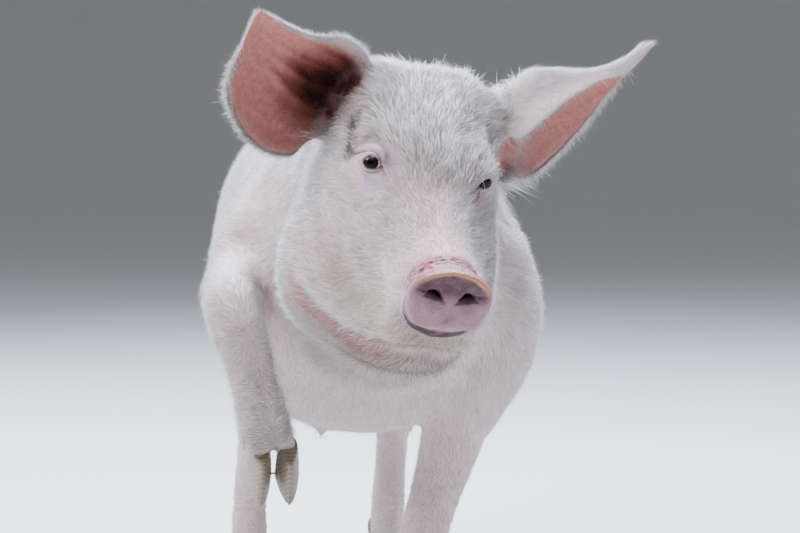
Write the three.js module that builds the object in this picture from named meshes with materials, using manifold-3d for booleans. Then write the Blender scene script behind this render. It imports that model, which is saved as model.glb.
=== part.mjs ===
// A life-size model of a white, prick-eared farm sow that stands on three feet and holds its right forefoot up,
// as it does when it looks over a low rail. Millimetres, +Z up; the animal faces -Y and its left side is +X. The
// body is modelled whole, as lofts that are joined, and then parted with thin cuts into the pieces that a person
// would name.
import * as THREE from 'three';
import { LoftGeometry } from 'three/addons/geometries/LoftGeometry.js';
import { mergeVertices } from 'three/addons/utils/BufferGeometryUtils.js';
import Module from 'manifold-3d';

const wasm = await Module();
wasm.setup();

const GAP = 0.4; // width of every thin cut, and the clearance round an inset piece
const rad = THREE.MathUtils.degToRad;
const vec = ( x, y, z ) => new THREE.Vector3( x, y, z );

// ---------------------------------------------------------------- solids

// A closed three.js geometry as a manifold solid, turned right side out.
function solidOf( geometry ) {

	const bare = new THREE.BufferGeometry().copy( geometry );
	bare.deleteAttribute( 'normal' );
	bare.deleteAttribute( 'uv' );
	const merged = mergeVertices( bare, 1e-3 );
	const mesh = ( triVerts ) => new wasm.Mesh( {
		numProp: 3, vertProperties: merged.attributes.position.array, triVerts } );
	const triangles = new Uint32Array( merged.index.array );
	const solid = new wasm.Manifold( mesh( triangles ) );
	return solid.volume() > 0 ? solid : new wasm.Manifold( mesh( triangles.reverse() ) );

}

const joined = ( solids ) => solids.reduce( ( whole, solid ) => whole.add( solid ) );

// The largest single body of a solid, without any sliver that a cut left beside it.
const mainBody = ( solid ) => solid.decompose().sort( ( a, b ) => b.volume() - a.volume() )[ 0 ];

// A block that stands for a region of space: its near face goes through a point, square to a direction, and the
// block reaches away from there.
function region( point, direction, size, spin = 0 ) {

	const [ width, height, depth ] = size;
	const turn = new THREE.Quaternion().setFromUnitVectors( vec( 0, 0, 1 ), direction.clone().normalize() );
	const box = ( grow ) => new THREE.BoxGeometry( width + 2 * grow, height + 2 * grow, depth + 2 * grow );
	const build = ( grow ) => solidOf( box( grow )
		.translate( 0, 0, depth / 2 )
		.rotateZ( rad( spin ) )
		.applyQuaternion( turn )
		.translate( point.x, point.y, point.z ) );
	return { inside: build( 0 ), grown: build( GAP ) };

}

// Splits a solid by a region: what lies inside it, and the rest behind a thin cut.
function part( solid, { inside, grown } ) {

	return [ mainBody( solid.intersect( inside ) ), mainBody( solid.subtract( grown ) ) ];

}

// ---------------------------------------------------------------- lofts

// Rows of numbers, resampled to `count` rows along a Catmull-Rom curve through them.
function smooth( rows, count ) {

	const at = ( i ) => rows[ Math.min( Math.max( i, 0 ), rows.length - 1 ) ];
	return Array.from( { length: count }, ( _, k ) => {

		const t = k / ( count - 1 ) * ( rows.length - 1 );
		const i = Math.min( Math.floor( t ), rows.length - 2 );
		const f = t - i;
		return rows[ 0 ].map( ( _, c ) => {

			const [ a, b, d, e ] = [ at( i - 1 )[ c ], at( i )[ c ], at( i + 1 )[ c ], at( i + 2 )[ c ] ];
			return b + 0.5 * f * ( d - a + f * ( 2 * a - 5 * b + 4 * d - e + f * ( 3 * ( b - d ) + e - a ) ) );

		} );

	} );

}

// One ring of points round a centre. The ring is a superellipse: power 2 is round and a higher power squarer.
// It reaches `half` to each side, `above` and `below` the centre, and a taper narrows it towards the top.
function ring( { centre, side, up, half, above, below, power = 2, taper = 0 }, count ) {

	const bend = ( value ) => Math.sign( value ) * Math.abs( value ) ** ( 2 / power );
	return Array.from( { length: count }, ( _, k ) => {

		const angle = 2 * Math.PI * k / count;
		const [ across, along ] = [ bend( Math.cos( angle ) ), bend( Math.sin( angle ) ) ];
		return centre.clone()
			.addScaledVector( side, half * across * ( 1 - taper * along ) )
			.addScaledVector( up, ( along > 0 ? above : below ) * along );

	} );

}

// A closed loft through rings of equal count. The rings are turned to wind counterclockwise as seen from its
// end.
function loft( rings ) {

	const [ first, second ] = rings;
	const area = vec( 0, 0, 0 );
	first.forEach( ( p, i ) => area.add( p.clone().cross( first[ ( i + 1 ) % first.length ] ) ) );
	const ahead = second[ 0 ].clone().sub( first[ 0 ] );
	const sections = area.dot( ahead ) < 0 ? rings.map( ( points ) => [ ...points ].reverse() ) : rings;
	return new LoftGeometry( sections, { capStart: true, capEnd: true } );

}

// A limb or tail as a loft along a path. Each row is x, y, z, half width across, half depth front to back.
function limb( rows, { rings, sides, grow = 0, power = 2.2 } ) {

	const stations = smooth( rows, rings );
	const point = ( i ) => vec( ...stations[ Math.min( Math.max( i, 0 ), rings - 1 ) ] );
	return solidOf( loft( stations.map( ( [ x, y, z, across, depth ], i ) => {

		const along = point( i + 1 ).sub( point( i - 1 ) ).normalize();
		const side = vec( 1, 0, 0 ).addScaledVector( along, - along.x ).normalize();
		const up = side.clone().cross( along );
		return ring( { centre: vec( x, y, z ), side, up, half: across + grow,
			above: depth + grow, below: depth + grow, power }, sides );

	} ) ) );

}

// Every x in the rows changes sign, for the limb of the other side.
const mirrored = ( rows ) => rows.map( ( [ x, ...rest ] ) => [ - x, ...rest ] );

// ---------------------------------------------------------------- trunk

// Stations from the breast to the buttocks: y, top, underline, half width, squareness.
const TRUNK = [
	[ - 200, 628, 470, 60, 2.0 ],
	[ - 182, 668, 430, 104, 2.0 ],
	[ - 140, 712, 378, 152, 2.0 ],
	[ - 60, 744, 334, 187, 2.0 ],
	[ 40, 753, 316, 196, 2.1 ],
	[ 160, 757, 302, 197, 2.3 ],
	[ 300, 759, 292, 197, 2.3 ],
	[ 440, 757, 290, 198, 2.3 ],
	[ 570, 751, 308, 195, 2.3 ],
	[ 690, 738, 345, 187, 2.3 ],
	[ 790, 714, 398, 168, 2.2 ],
	[ 852, 684, 450, 136, 2.1 ],
	[ 888, 650, 500, 96, 2.0 ],
	[ 906, 610, 550, 44, 2.0 ],
];

function trunk( grow = 0 ) {

	return solidOf( loft( smooth( TRUNK, 23 ).map( ( [ y, top, bottom, half, power ] ) => {

		const level = bottom + 0.47 * ( top - bottom );
		return ring( { centre: vec( 0, y, level ), side: vec( 1, 0, 0 ), up: vec( 0, 0, 1 ), half: half + grow,
			above: top - level + grow, below: level - bottom + grow, power }, 24 );

	} ) ) );

}

// ---------------------------------------------------------------- neck

// Stations from the withers to the nape: x, y, z, half width, half depth.
const NECK = [
	[ 0, 60, 545, 165, 200 ],
	[ 0, - 70, 560, 166, 194 ],
	[ 2, - 170, 586, 147, 180 ],
	[ 4, - 260, 616, 130, 166 ],
	[ 6, - 350, 646, 114, 146 ],
];
const neck = ( grow = 0 ) => limb( NECK, { rings: 7, sides: 22, grow } );

// ---------------------------------------------------------------- head

const HEAD_AT = vec( 6, - 330, 669 ); // nape end of the head's own axis
const HEAD_TURN = new THREE.Euler( rad( 21.3 ), rad( 8.8 ), rad( 5.9 ), 'ZXY' ); // bowed, left side down, to the left
const HEAD_POSE = new THREE.Matrix4().makeRotationFromEuler( HEAD_TURN ).setPosition( HEAD_AT );
const posed = ( geometry ) => geometry.applyMatrix4( HEAD_POSE );
const inHead = ( x, s, z ) => vec( x, - s, z ).applyMatrix4( HEAD_POSE );
const headWay = ( x, s, z ) => vec( x, - s, z ).transformDirection( HEAD_POSE );

// Stations from the nape to the snout: distance forward, top, bottom, half width, taper, squareness.
const HEAD = [
	[ - 80, 78, - 135, 92, 0.06, 2.2 ],
	[ - 25, 116, - 152, 104, 0.08, 2.4 ],
	[ 30, 131, - 168, 106, 0.10, 2.7 ],
	[ 75, 122, - 174, 104, 0.10, 2.7 ],
	[ 115, 103, - 172, 99, 0.10, 2.6 ],
	[ 150, 79, - 166, 89, 0.10, 2.5 ],
	[ 185, 60, - 157, 77, 0.10, 2.4 ],
	[ 220, 47, - 143, 66, 0.08, 2.3 ],
	[ 255, 39, - 122, 57, 0.04, 2.3 ],
	[ 286, 36, - 92, 50, 0.0, 2.2 ],
	[ 308, 35, - 60, 46, 0.0, 2.1 ],
	[ 322, 34, - 38, 44, 0.0, 2.0 ],
];

// Soft swellings of the head, mirrored to both sides: centre, reach and height of the bulge.
const SWELLS = [
	{ at: [ 76, 124, 66 ], reach: 32, height: 8 }, // brow and cheekbone round the eye
	{ at: [ 66, 20, 118 ], reach: 44, height: 25 }, // root of the ear
	{ at: [ 96, 74, - 86 ], reach: 62, height: 20 }, // cheek
	{ at: [ 76, 156, - 84 ], reach: 44, height: 9 }, // corner of the mouth
	{ at: [ 74, 66, - 150 ], reach: 52, height: 15 }, // jowl
	{ at: [ 48, 262, - 22 ], reach: 26, height: 4 }, // root of the snout
];

function head( grow = 0 ) {

	const sections = smooth( HEAD, 22 ).map( ( [ s, top, bottom, half, taper, power ], i, all ) => {

		const level = bottom + 0.42 * ( top - bottom );
		const ahead = i === all.length - 1 ? s + grow : s;
		const centre = vec( 0, - ahead, level );
		return ring( { centre, side: vec( 1, 0, 0 ), up: vec( 0, 0, 1 ), half: half + grow,
			above: top - level + grow, below: level - bottom + grow, power, taper }, 26 ).map( ( p ) => {

			const away = p.clone().sub( centre ).normalize();
			for ( const { at: [ x, forward, z ], reach, height } of SWELLS ) {

				const distance = vec( Math.sign( p.x ) * x, - forward, z ).distanceTo( p );
				p.addScaledVector( away, height * Math.exp( - ( ( distance / reach ) ** 2 ) ) );

			}

			return p;

		} );

	} );
	return solidOf( posed( loft( sections ) ) );

}

// The mouth: its line runs back and down from below the snout to the corner of the lips.
const MOUTH = { front: 300, level: - 66, corner: 166, slope: 23, jawDepth: 130 };

function jawBlock( grow ) {

	const long = MOUTH.front - MOUTH.corner + 60;
	const drop = ( MOUTH.front - MOUTH.corner ) * Math.tan( rad( MOUTH.slope ) );
	return solidOf( posed( new THREE.BoxGeometry( 220, long + grow, MOUTH.jawDepth + grow )
		.translate( 0, - long / 2 + grow / 2, - MOUTH.jawDepth / 2 + grow / 2 )
		.rotateX( rad( - MOUTH.slope ) )
		.translate( 0, - MOUTH.corner, MOUTH.level - drop ) ) );

}

// The flat gristly end of the snout, with a rim and two nostrils.
const DISC = { s: 320, thick: 13, half: 46, above: 36, below: 35 };
const NOSTRIL = { x: 17.5, z: 5, half: 7, tall: 5.5, deep: 14 };

function snoutDisc() {

	const rim = [
		[ - 3, 0.9 ], [ 0, 0.97 ], [ 4, 1.0 ], [ 8, 1.0 ], [ 11, 0.95 ], [ DISC.thick, 0.84 ],
	];
	const plate = solidOf( posed( loft( rim.map( ( [ ahead, share ] ) => ring( {
		centre: vec( 0, - DISC.s - ahead, - 1 ), side: vec( 1, 0, 0 ), up: vec( 0, 0, 1 ), half: DISC.half * share,
		above: DISC.above * share, below: DISC.below * share, power: 2.2 }, 24 ) ) ) ) );
	const bore = ( sign ) => solidOf( posed( new THREE.SphereGeometry( 1, 10, 6 )
		.scale( NOSTRIL.half, NOSTRIL.deep, NOSTRIL.tall )
		.rotateY( rad( - 20 * sign ) )
		.translate( sign * NOSTRIL.x, - DISC.s - DISC.thick, NOSTRIL.z ) ) );
	return plate.subtract( bore( 1 ) ).subtract( bore( - 1 ) );

}

// ---------------------------------------------------------------- eyes

const EYE = { x: 62, s: 134, z: 60, radius: 12.5 };
const eyeBall = ( sign, grow = 0 ) => solidOf( posed( new THREE.SphereGeometry( EYE.radius + grow, 12, 8 )
	.translate( sign * EYE.x, - EYE.s, EYE.z ) ) );

// ---------------------------------------------------------------- ears

// An ear is a leaf whose cross-sections curl from the front edge, over the rib at its back, to the outer edge.
// Rows from inside the head to the tip: front edge, rib and outer edge, each as x, forward, z of the head.
const EAR_RIGHT = [
	[ - 36, 38, 84, - 50, 8, 66, - 84, 36, 34 ],
	[ - 50, 37, 110, - 71, - 8, 80, - 104, 40, 42 ],
	[ - 69, 30, 145, - 90, - 10, 93, - 134, 54, 26 ],
	[ - 99, 30, 161, - 118, - 5, 105, - 173, 59, 33 ],
	[ - 129, 40, 161, - 149, 5, 124, - 204, 58, 61 ],
	[ - 161, 46, 168, - 175, 20, 146, - 219, 56, 98 ],
	[ - 185, 50, 179, - 192, 38, 166, - 213, 55, 140 ],
	[ - 199, 54, 186, - 202, 51, 182, - 206, 53, 176 ],
];
const EAR_LEFT = [
	[ 62, 62, 66, 62, 24, 88, 86, 36, 14 ],
	[ 82, 74, 84, 91, 24, 126, 112, 36, 20 ],
	[ 106, 84, 92, 118, 30, 152, 140, 43, 34 ],
	[ 129, 88, 121, 143, 42, 164, 165, 48, 69 ],
	[ 153, 90, 154, 168, 56, 172, 186, 55, 112 ],
	[ 179, 93, 178, 188, 70, 185, 200, 66, 154 ],
	[ 204, 98, 194, 207, 80, 205, 208, 80, 184 ],
	[ 231, 88, 228, 231, 84, 231, 229, 84, 225 ],
];
const EAR = { rings: 10, across: 7, root: 5.5, tip: 2.4 };

function ear( rows ) {

	const stations = smooth( rows, EAR.rings ).map( ( [ a, b, c, d, e, f, g, h, i ] ) =>
		[ inHead( a, b, c ), inHead( d, e, f ), inHead( g, h, i ) ] );
	const rib = ( i ) => stations[ THREE.MathUtils.clamp( i, 0, EAR.rings - 1 ) ][ 1 ].clone();
	return solidOf( loft( stations.map( ( [ front, back, outer ], i ) => {

		const along = rib( i + 1 ).sub( rib( i - 1 ) ).normalize();
		const half = outer.clone().sub( front ).multiplyScalar( 0.5 );
		const cup = outer.clone().add( front ).multiplyScalar( 0.5 ).sub( back );
		const thick = THREE.MathUtils.lerp( EAR.root, EAR.tip, i / ( EAR.rings - 1 ) );
		const point = ( t, way ) => {

			const wall = half.clone().addScaledVector( cup, 2 * t ).cross( along ).normalize();
			const rim = thick * Math.sqrt( Math.max( 1 - t ** 4, 0.14 ) );
			return back.clone().addScaledVector( half, t ).addScaledVector( cup, t * t ).addScaledVector( wall, way * rim );

		};

		const steps = Array.from( { length: EAR.across + 1 }, ( _, k ) => 2 * k / EAR.across - 1 );
		return [ ...steps.map( ( t ) => point( t, 1 ) ), ...steps.reverse().map( ( t ) => point( t, - 1 ) ) ];

	} ) ) );

}

// ---------------------------------------------------------------- legs

// Each row is x, y, z, half width across, half depth front to back, from inside the trunk down to the hoof.
const FORELEG = [
	[ 104, - 30, 620, 60, 90 ],
	[ 132, - 42, 540, 82, 118 ],
	[ 146, - 36, 462, 80, 112 ],
	[ 134, - 6, 392, 60, 86 ],
	[ 114, 6, 330, 45, 58 ],
	[ 97, 2, 270, 37, 43 ],
	[ 82, - 3, 225, 33, 35 ],
	[ 75, - 5, 198, 35, 37 ],
	[ 67, - 4, 166, 30, 32 ],
	[ 57, - 2, 125, 27, 29 ],
	[ 50, - 3, 92, 31, 34 ],
	[ 47, - 12, 64, 29, 31 ],
	[ 45, - 18, 38, 30, 33 ],
];
const RAISED = [
	[ - 104, - 36, 620, 56, 86 ],
	[ - 128, - 62, 564, 72, 102 ],
	[ - 148, - 92, 526, 65, 87 ],
	[ - 163, - 130, 514, 54, 69 ],
	[ - 173, - 175, 518, 44, 52 ],
	[ - 177, - 215, 524, 38, 43 ],
	[ - 176, - 249, 518, 37, 40 ],
	[ - 170, - 268, 490, 37, 38 ],
	[ - 162, - 273, 458, 32, 33 ],
	[ - 152, - 271, 418, 29, 30 ],
	[ - 145, - 269, 390, 33, 35 ],
	[ - 139, - 273, 366, 31, 32 ],
	[ - 134, - 277, 345, 31, 33 ],
];
const HINDLEG = [
	[ 84, 690, 640, 62, 92 ],
	[ 106, 688, 560, 84, 132 ],
	[ 118, 690, 485, 86, 140 ],
	[ 124, 702, 415, 74, 118 ],
	[ 120, 726, 350, 54, 80 ],
	[ 113, 752, 300, 41, 56 ],
	[ 108, 766, 258, 34, 44 ],
	[ 105, 762, 218, 29, 35 ],
	[ 103, 753, 165, 27, 30 ],
	[ 101, 747, 105, 31, 35 ],
	[ 100, 738, 72, 29, 31 ],
	[ 100, 730, 38, 30, 33 ],
];

// ---------------------------------------------------------------- feet

const CLAW = { long: 66, wide: 30, tall: 46, apart: 16.5, heel: 22 };
const DEWCLAW = { long: 30, wide: 17, apart: 20, back: 42, up: 60 };

// One main claw in the foot's own frame: a flat sole, a pointed toe and a wall that leans back towards the coronet.
function claw( side, grow = 0 ) {

	const levels = [ [ 0, 0.95 ], [ 5, 1 ], [ 22, 0.95 ], [ CLAW.tall, 0.78 ] ];
	return loft( levels.map( ( [ z, share ], i ) => {

		const lean = 0.34 * z;
		const lift = i === 0 ? - grow : i === levels.length - 1 ? grow : 0;
		return Array.from( { length: 12 }, ( _, k ) => {

			const angle = 2 * Math.PI * k / 12;
			const ahead = Math.cos( angle );
			const reach = ahead > 0 ? CLAW.long - CLAW.heel : CLAW.heel;
			const width = CLAW.wide / 2 * Math.sin( angle ) * ( ahead > 0 ? 1 - 0.35 * ahead : 1 );
			return vec( side * CLAW.apart + width * share + grow * Math.sin( angle ),
				lean - reach * ahead * share - grow * ahead, z + lift );

		} );

	} ) );

}

// A dewclaw: a small blunt cone that hangs behind the fetlock.
function dewclaw( side, grow = 0 ) {

	const sizes = [ [ 0, 0.8 ], [ 0.35, 1 ], [ 0.75, 0.8 ], [ 1, 0.35 ] ];
	return loft( sizes.map( ( [ along, share ] ) => ring( {
		centre: vec( side * DEWCLAW.apart, DEWCLAW.back - 8 + 14 * along, DEWCLAW.up + 14 - DEWCLAW.long * along ),
		side: vec( 1, 0, 0 ), up: vec( 0, 1, 0 ), half: DEWCLAW.wide / 2 * share + grow,
		above: DEWCLAW.wide / 2 * share + grow, below: DEWCLAW.wide / 2 * share + grow }, 8 ) ) );

}

// Where each foot stands: x, y, z, heading and how far the toe points down, in degrees. The fetlock of the raised
// foot is bent, so its dewclaws have a place of their own.
const FEET = {
	fore_left: { claws: [ 45, - 22, 0, - 4, 0 ] },
	fore_right: { claws: [ - 131, - 253, 307, 4, 42 ], dewclaws: [ - 138, - 267, 303, 4, 10 ] },
	hind_left: { claws: [ 88, 726, 0, 8, 0 ] },
	hind_right: { claws: [ - 142, 726, 0, - 8, 0 ] },
};

function foot( { claws, dewclaws = claws } ) {

	const pieces = {
		claw_inner: [ claw, claws ], claw_outer: [ claw, claws ],
		dewclaw_inner: [ dewclaw, dewclaws ], dewclaw_outer: [ dewclaw, dewclaws ],
	};
	return Object.entries( pieces ).map( ( [ name, [ build, [ x, y, z, heading, toe ] ] ] ) => {

		const inward = x > 0 ? - 1 : 1;
		const side = name.endsWith( 'inner' ) ? inward : - inward;
		const pose = new THREE.Matrix4()
			.makeRotationFromEuler( new THREE.Euler( rad( toe ), 0, rad( heading ), 'ZXY' ) )
			.setPosition( x, y, z );
		return { name, solid: solidOf( build( side ).applyMatrix4( pose ) ),
			grown: solidOf( build( side, GAP ).applyMatrix4( pose ) ) };

	} );

}

// ---------------------------------------------------------------- tail

const TAIL = { root: vec( 0, 850, 668 ), back: 72, coil: 30, turns: 1.3, thick: 14, thin: 5 };

// The tail leaves the rump to the back, drops and winds once round to the side.
class TailCurve extends THREE.Curve {

	getPoint( t, target = vec( 0, 0, 0 ) ) {

		const start = THREE.MathUtils.smoothstep( t, 0, 0.35 );
		const wound = Math.max( t - 0.3, 0 ) / 0.7;
		const angle = 2 * Math.PI * TAIL.turns * wound;
		const radius = TAIL.coil * ( 1 - 0.3 * wound );
		return target.copy( TAIL.root ).add( vec(
			radius * Math.sin( angle ),
			TAIL.back * start + 34 * wound,
			- 14 * start - TAIL.coil + radius * Math.cos( angle ) ) );

	}

}

function tail() {

	const curve = new TailCurve();
	const frames = curve.computeFrenetFrames( 22 );
	return solidOf( loft( frames.tangents.map( ( _, i ) => {

		const thick = THREE.MathUtils.lerp( TAIL.thick, TAIL.thin, ( i / 22 ) ** 0.7 );
		return ring( { centre: curve.getPointAt( i / 22 ), side: frames.normals[ i ], up: frames.binormals[ i ],
			half: thick, above: thick, below: thick }, 8 );

	} ) ) );

}

// ---------------------------------------------------------------- assembly

const SKIN = new THREE.MeshStandardMaterial( { color: 0xe6cdc4, roughness: 0.8, metalness: 0 } );
const SNOUT = new THREE.MeshStandardMaterial( { color: 0xb98d92, roughness: 0.5, metalness: 0 } );
const EYEBALL = new THREE.MeshStandardMaterial( { color: 0x1c1a1a, roughness: 0.1, metalness: 0 } );
const HORN = new THREE.MeshStandardMaterial( { color: 0x7a6a58, roughness: 0.6, metalness: 0 } );

const pig = new THREE.Group();

function addMesh( name, solid, material ) {

	const { vertProperties, triVerts } = solid.getMesh();
	const geometry = new THREE.BufferGeometry();
	geometry.setAttribute( 'position', new THREE.Float32BufferAttribute( vertProperties, 3 ) );
	geometry.setIndex( Array.from( triVerts ) );
	geometry.computeVertexNormals();
	const mesh = new THREE.Mesh( geometry, material );
	mesh.name = name;
	pig.add( mesh );

}

const LEG = { rings: 16, sides: 12 };
const shifted = ( rows, dx ) => rows.map( ( [ x, y, z, ...rest ] ) =>
	[ x + dx * THREE.MathUtils.smoothstep( 450 - z, 0, 420 ), y, z, ...rest ] );
const legs = [
	limb( FORELEG, LEG ),
	limb( RAISED, LEG ),
	limb( shifted( HINDLEG, - 14 ), LEG ),
	limb( shifted( mirrored( HINDLEG ), - 40 ), LEG ),
];

let rest = joined( [ trunk(), neck(), head(), ...legs ] );

// Hoofs first: each claw stands in a recess of the flesh.
for ( const [ leg, place ] of Object.entries( FEET ) ) {

	for ( const { name, solid, grown } of foot( place ) ) {

		rest = rest.subtract( grown );
		addMesh( `${ leg }_${ name }`, solid, HORN );

	}

}

// Eyes in their sockets.
for ( const [ name, sign ] of [ [ 'eye_left', 1 ], [ 'eye_right', - 1 ] ] ) {

	rest = rest.subtract( eyeBall( sign, GAP ) );
	addMesh( name, eyeBall( sign ), EYEBALL );

}

// The legs below the body, the head at the nape, and the neck in front of the shoulders.
const CUTS = {
	foreleg_left: region( vec( 112, 6, 333 ), vec( 0.4, 0, - 1 ), [ 400, 170, 500 ] ),
	foreleg_right: region( vec( - 196, - 190, 412 ), vec( - 0.15, - 1, 0 ), [ 178, 312, 260 ], 11 ),
	hindleg_left: region( vec( 118, 724, 380 ), vec( 0.35, 0.3, - 1 ), [ 400, 400, 500 ] ),
	hindleg_right: region( vec( - 118, 724, 380 ), vec( - 0.35, 0.3, - 1 ), [ 400, 400, 500 ] ),
	jaw: { inside: jawBlock( 0 ), grown: jawBlock( GAP ) },
	head: region( inHead( 0, - 24, 0 ), headWay( 0, 1, 0 ), [ 330, 400, 420 ] ),
	neck: region( vec( 0, - 60, 750 ), vec( 0, - 1, 0.7 ), [ 460, 900, 400 ] ),
};

for ( const [ name, place ] of Object.entries( CUTS ) ) {

	const [ piece, remains ] = part( rest, place );
	addMesh( name, piece, SKIN );
	rest = remains;

}

addMesh( 'trunk', rest, SKIN );

// The ears, the tail and the end of the snout stand on the body.
const body = joined( [ trunk( GAP ), neck( GAP ), head( GAP ) ] );
addMesh( 'snout_disc', mainBody( snoutDisc().subtract( body ) ), SNOUT );
addMesh( 'ear_right', mainBody( ear( EAR_RIGHT ).subtract( body ) ), SKIN );
addMesh( 'ear_left', mainBody( ear( EAR_LEFT ).subtract( body ) ), SKIN );
addMesh( 'tail', mainBody( tail().subtract( body ) ), SKIN );

// The origin is on the floor, below the middle of the whole animal.
const extent = new THREE.Box3().setFromObject( pig );
const middle = extent.getCenter( vec( 0, 0, 0 ) );
pig.position.set( - middle.x, - middle.y, - extent.min.z );

export default pig;
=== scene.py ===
import bpy
import numpy as np
from mathutils import Matrix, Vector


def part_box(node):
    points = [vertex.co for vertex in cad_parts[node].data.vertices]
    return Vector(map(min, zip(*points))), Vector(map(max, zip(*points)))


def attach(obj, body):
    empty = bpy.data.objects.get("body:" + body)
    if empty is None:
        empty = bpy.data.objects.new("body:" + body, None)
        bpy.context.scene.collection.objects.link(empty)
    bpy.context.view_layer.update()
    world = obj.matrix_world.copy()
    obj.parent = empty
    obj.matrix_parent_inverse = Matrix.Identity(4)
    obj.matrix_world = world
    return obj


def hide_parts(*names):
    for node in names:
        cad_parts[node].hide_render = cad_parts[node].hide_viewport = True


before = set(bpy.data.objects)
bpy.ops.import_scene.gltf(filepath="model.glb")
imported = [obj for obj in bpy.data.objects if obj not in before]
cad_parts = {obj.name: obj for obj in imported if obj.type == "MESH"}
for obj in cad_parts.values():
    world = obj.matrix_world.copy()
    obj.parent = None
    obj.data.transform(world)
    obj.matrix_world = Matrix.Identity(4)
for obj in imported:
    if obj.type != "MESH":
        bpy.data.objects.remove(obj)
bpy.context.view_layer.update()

# ---------------------------------------------------------------- place of the head, camera, light and floor
# The head is turned and bowed on the neck, and the camera stands in front of it at the height of the withers.
# Soft boxes light the animal from its right and from above. The floor is a pale studio floor.

MM = 0.001
HEAD_BOW, HEAD_TILT, HEAD_YAW = 21.3, 8.8, 5.9  # nose down, left side down and nose to the left, in degrees
EYE_X, EYE_S, EYE_Z = 62, 134, 60  # an eye's centre in the head: sideways, forward and up, in mm


def turn_about(axis, degrees):
    """A turn about one axis as a matrix."""
    return np.array(Matrix.Rotation(np.radians(degrees), 3, axis))


def middle(node):
    """The middle of a CAD node's box."""
    low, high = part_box(node)
    return (np.array(low) + np.array(high)) / 2


HEAD_TURN = turn_about("Z", HEAD_YAW) @ turn_about("X", HEAD_BOW) @ turn_about("Y", HEAD_TILT)
EYES = {"right": middle("eye_right"), "left": middle("eye_left")}
HEAD_AT = (EYES["right"] + EYES["left"]) / 2 - HEAD_TURN @ (np.array([0, -EYE_S, EYE_Z]) * MM)

CAMERA_AZIMUTH, CAMERA_ELEVATION = -5, 4  # in degrees, from straight ahead and from level
CAMERA_OFFSET = np.array([7.2, -105.5, 2600]) * MM  # from the nape: to the right, up and back
IMAGE_WIDTH, FOCAL_LENGTH, SENSOR = 800, 2275.7, 36  # the first two in pixels, the sensor's width in mm

camera = bpy.data.objects.new("camera", bpy.data.cameras.new("camera"))
bpy.context.scene.collection.objects.link(camera)
bpy.context.scene.camera = camera
camera.data.sensor_width = SENSOR
camera.data.lens = FOCAL_LENGTH * SENSOR / IMAGE_WIDTH
camera_turn = turn_about("Z", CAMERA_AZIMUTH) @ turn_about("X", 90 - CAMERA_ELEVATION)
camera.matrix_world = (
    Matrix.Translation(HEAD_AT + camera_turn @ CAMERA_OFFSET) @ Matrix(camera_turn.tolist()).to_4x4()
)


def linear(colour, alpha=1.0):
    """An sRGB hex colour as linear red, green, blue and alpha."""
    value = np.array([int(colour[i : i + 2], 16) for i in (1, 3, 5)]) / 255
    light = np.where(value <= 0.04045, value / 12.92, ((value + 0.055) / 1.055) ** 2.4)
    return (*light.tolist(), alpha)


def add(tree, kind, inputs=(), **settings):
    """Adds a shader node with its settings. inputs pairs a socket with a value, with a hex colour, or with
    the output that is joined to it."""
    node = tree.nodes.new("ShaderNode" + kind)
    for name, value in settings.items():
        setattr(node, name, value)
    for socket, value in dict(inputs).items():
        if isinstance(value, bpy.types.NodeSocket):
            tree.links.new(value, node.inputs[socket])
        else:
            node.inputs[socket].default_value = linear(value) if isinstance(value, str) else value
    return node


def new_material(name):
    """An empty node material, its tree and its output."""
    material = bpy.data.materials.new(name)
    material.use_nodes = True
    material.node_tree.nodes.clear()
    return material, material.node_tree


def soft_box(name, place, aim, size, power, colour):
    """A square area lamp at a place, turned to aim, with its power in watts."""
    lamp = bpy.data.objects.new(name, bpy.data.lights.new(name, "AREA"))
    lamp.data.size = size
    lamp.data.energy = power
    lamp.data.color = linear(colour)[:3]
    lamp.visible_camera = False
    away = np.array(place, float) - np.array(aim, float)
    frame_z = away / np.linalg.norm(away)
    frame_x = np.cross([0, 0, 1], frame_z)
    frame_x /= np.linalg.norm(frame_x)
    turn = np.stack([frame_x, np.cross(frame_z, frame_x), frame_z], 1)
    lamp.matrix_world = Matrix.Translation(place) @ Matrix(turn.tolist()).to_4x4()
    bpy.context.scene.collection.objects.link(lamp)


LAMP_AIM = (0, -0.3, 0.55)  # the chest, in m
# Each lamp's place and side, in m, its power in watts and its colour.
LAMPS = {
    "key_lamp": ((-2.6, -1.6, 3.4), 1.4, 265, "#eff4ff"),
    "top_lamp": ((0.5, 1.1, 3.4), 1.4, 640, "#dce9ff"),
    "ceiling_lamp": ((0.1, 0, 18), 40, 1250, "#e6f0ff"),
    "rim_lamp_right": ((-2.4, 2.6, 2.4), 1.6, 210, "#dcebff"),
    "rim_lamp_left": ((2.6, 2.8, 2.6), 1.6, 40, "#d8e8ff"),
}
for name, (place, size, power, glow) in LAMPS.items():
    soft_box(name, place, LAMP_AIM, size, power, glow)

AIR_STRENGTH, AIR_LOW, AIR_HIGH = 0.24, "#c9ccce", "#dfe9f4"  # the air's light, and its colours low and high

world = bpy.data.worlds.new("studio_air")
world.use_nodes = True
air = world.node_tree
way_up = add(air, "SeparateXYZ", {0: add(air, "TexCoord").outputs["Generated"]})
height = add(air, "MapRange", {"Value": way_up.outputs["Z"], "From Min": -0.05, "From Max": 0.8})
tone = add(air, "ValToRGB", {"Fac": height.outputs[0]})
tone.color_ramp.elements[0].color, tone.color_ramp.elements[1].color = linear(AIR_LOW), linear(AIR_HIGH)
air.links.new(tone.outputs[0], air.nodes["Background"].inputs["Color"])
air.nodes["Background"].inputs["Strength"].default_value = AIR_STRENGTH
bpy.context.scene.world = world

FLOOR_FLAT, WALL_AT, WALL_HEIGHT = 12.0, 26.0, 16.0  # the flat's reach, the wall's distance and height, in m
FLOOR_RINGS, FLOOR_SPOKES = 25, 96

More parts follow.
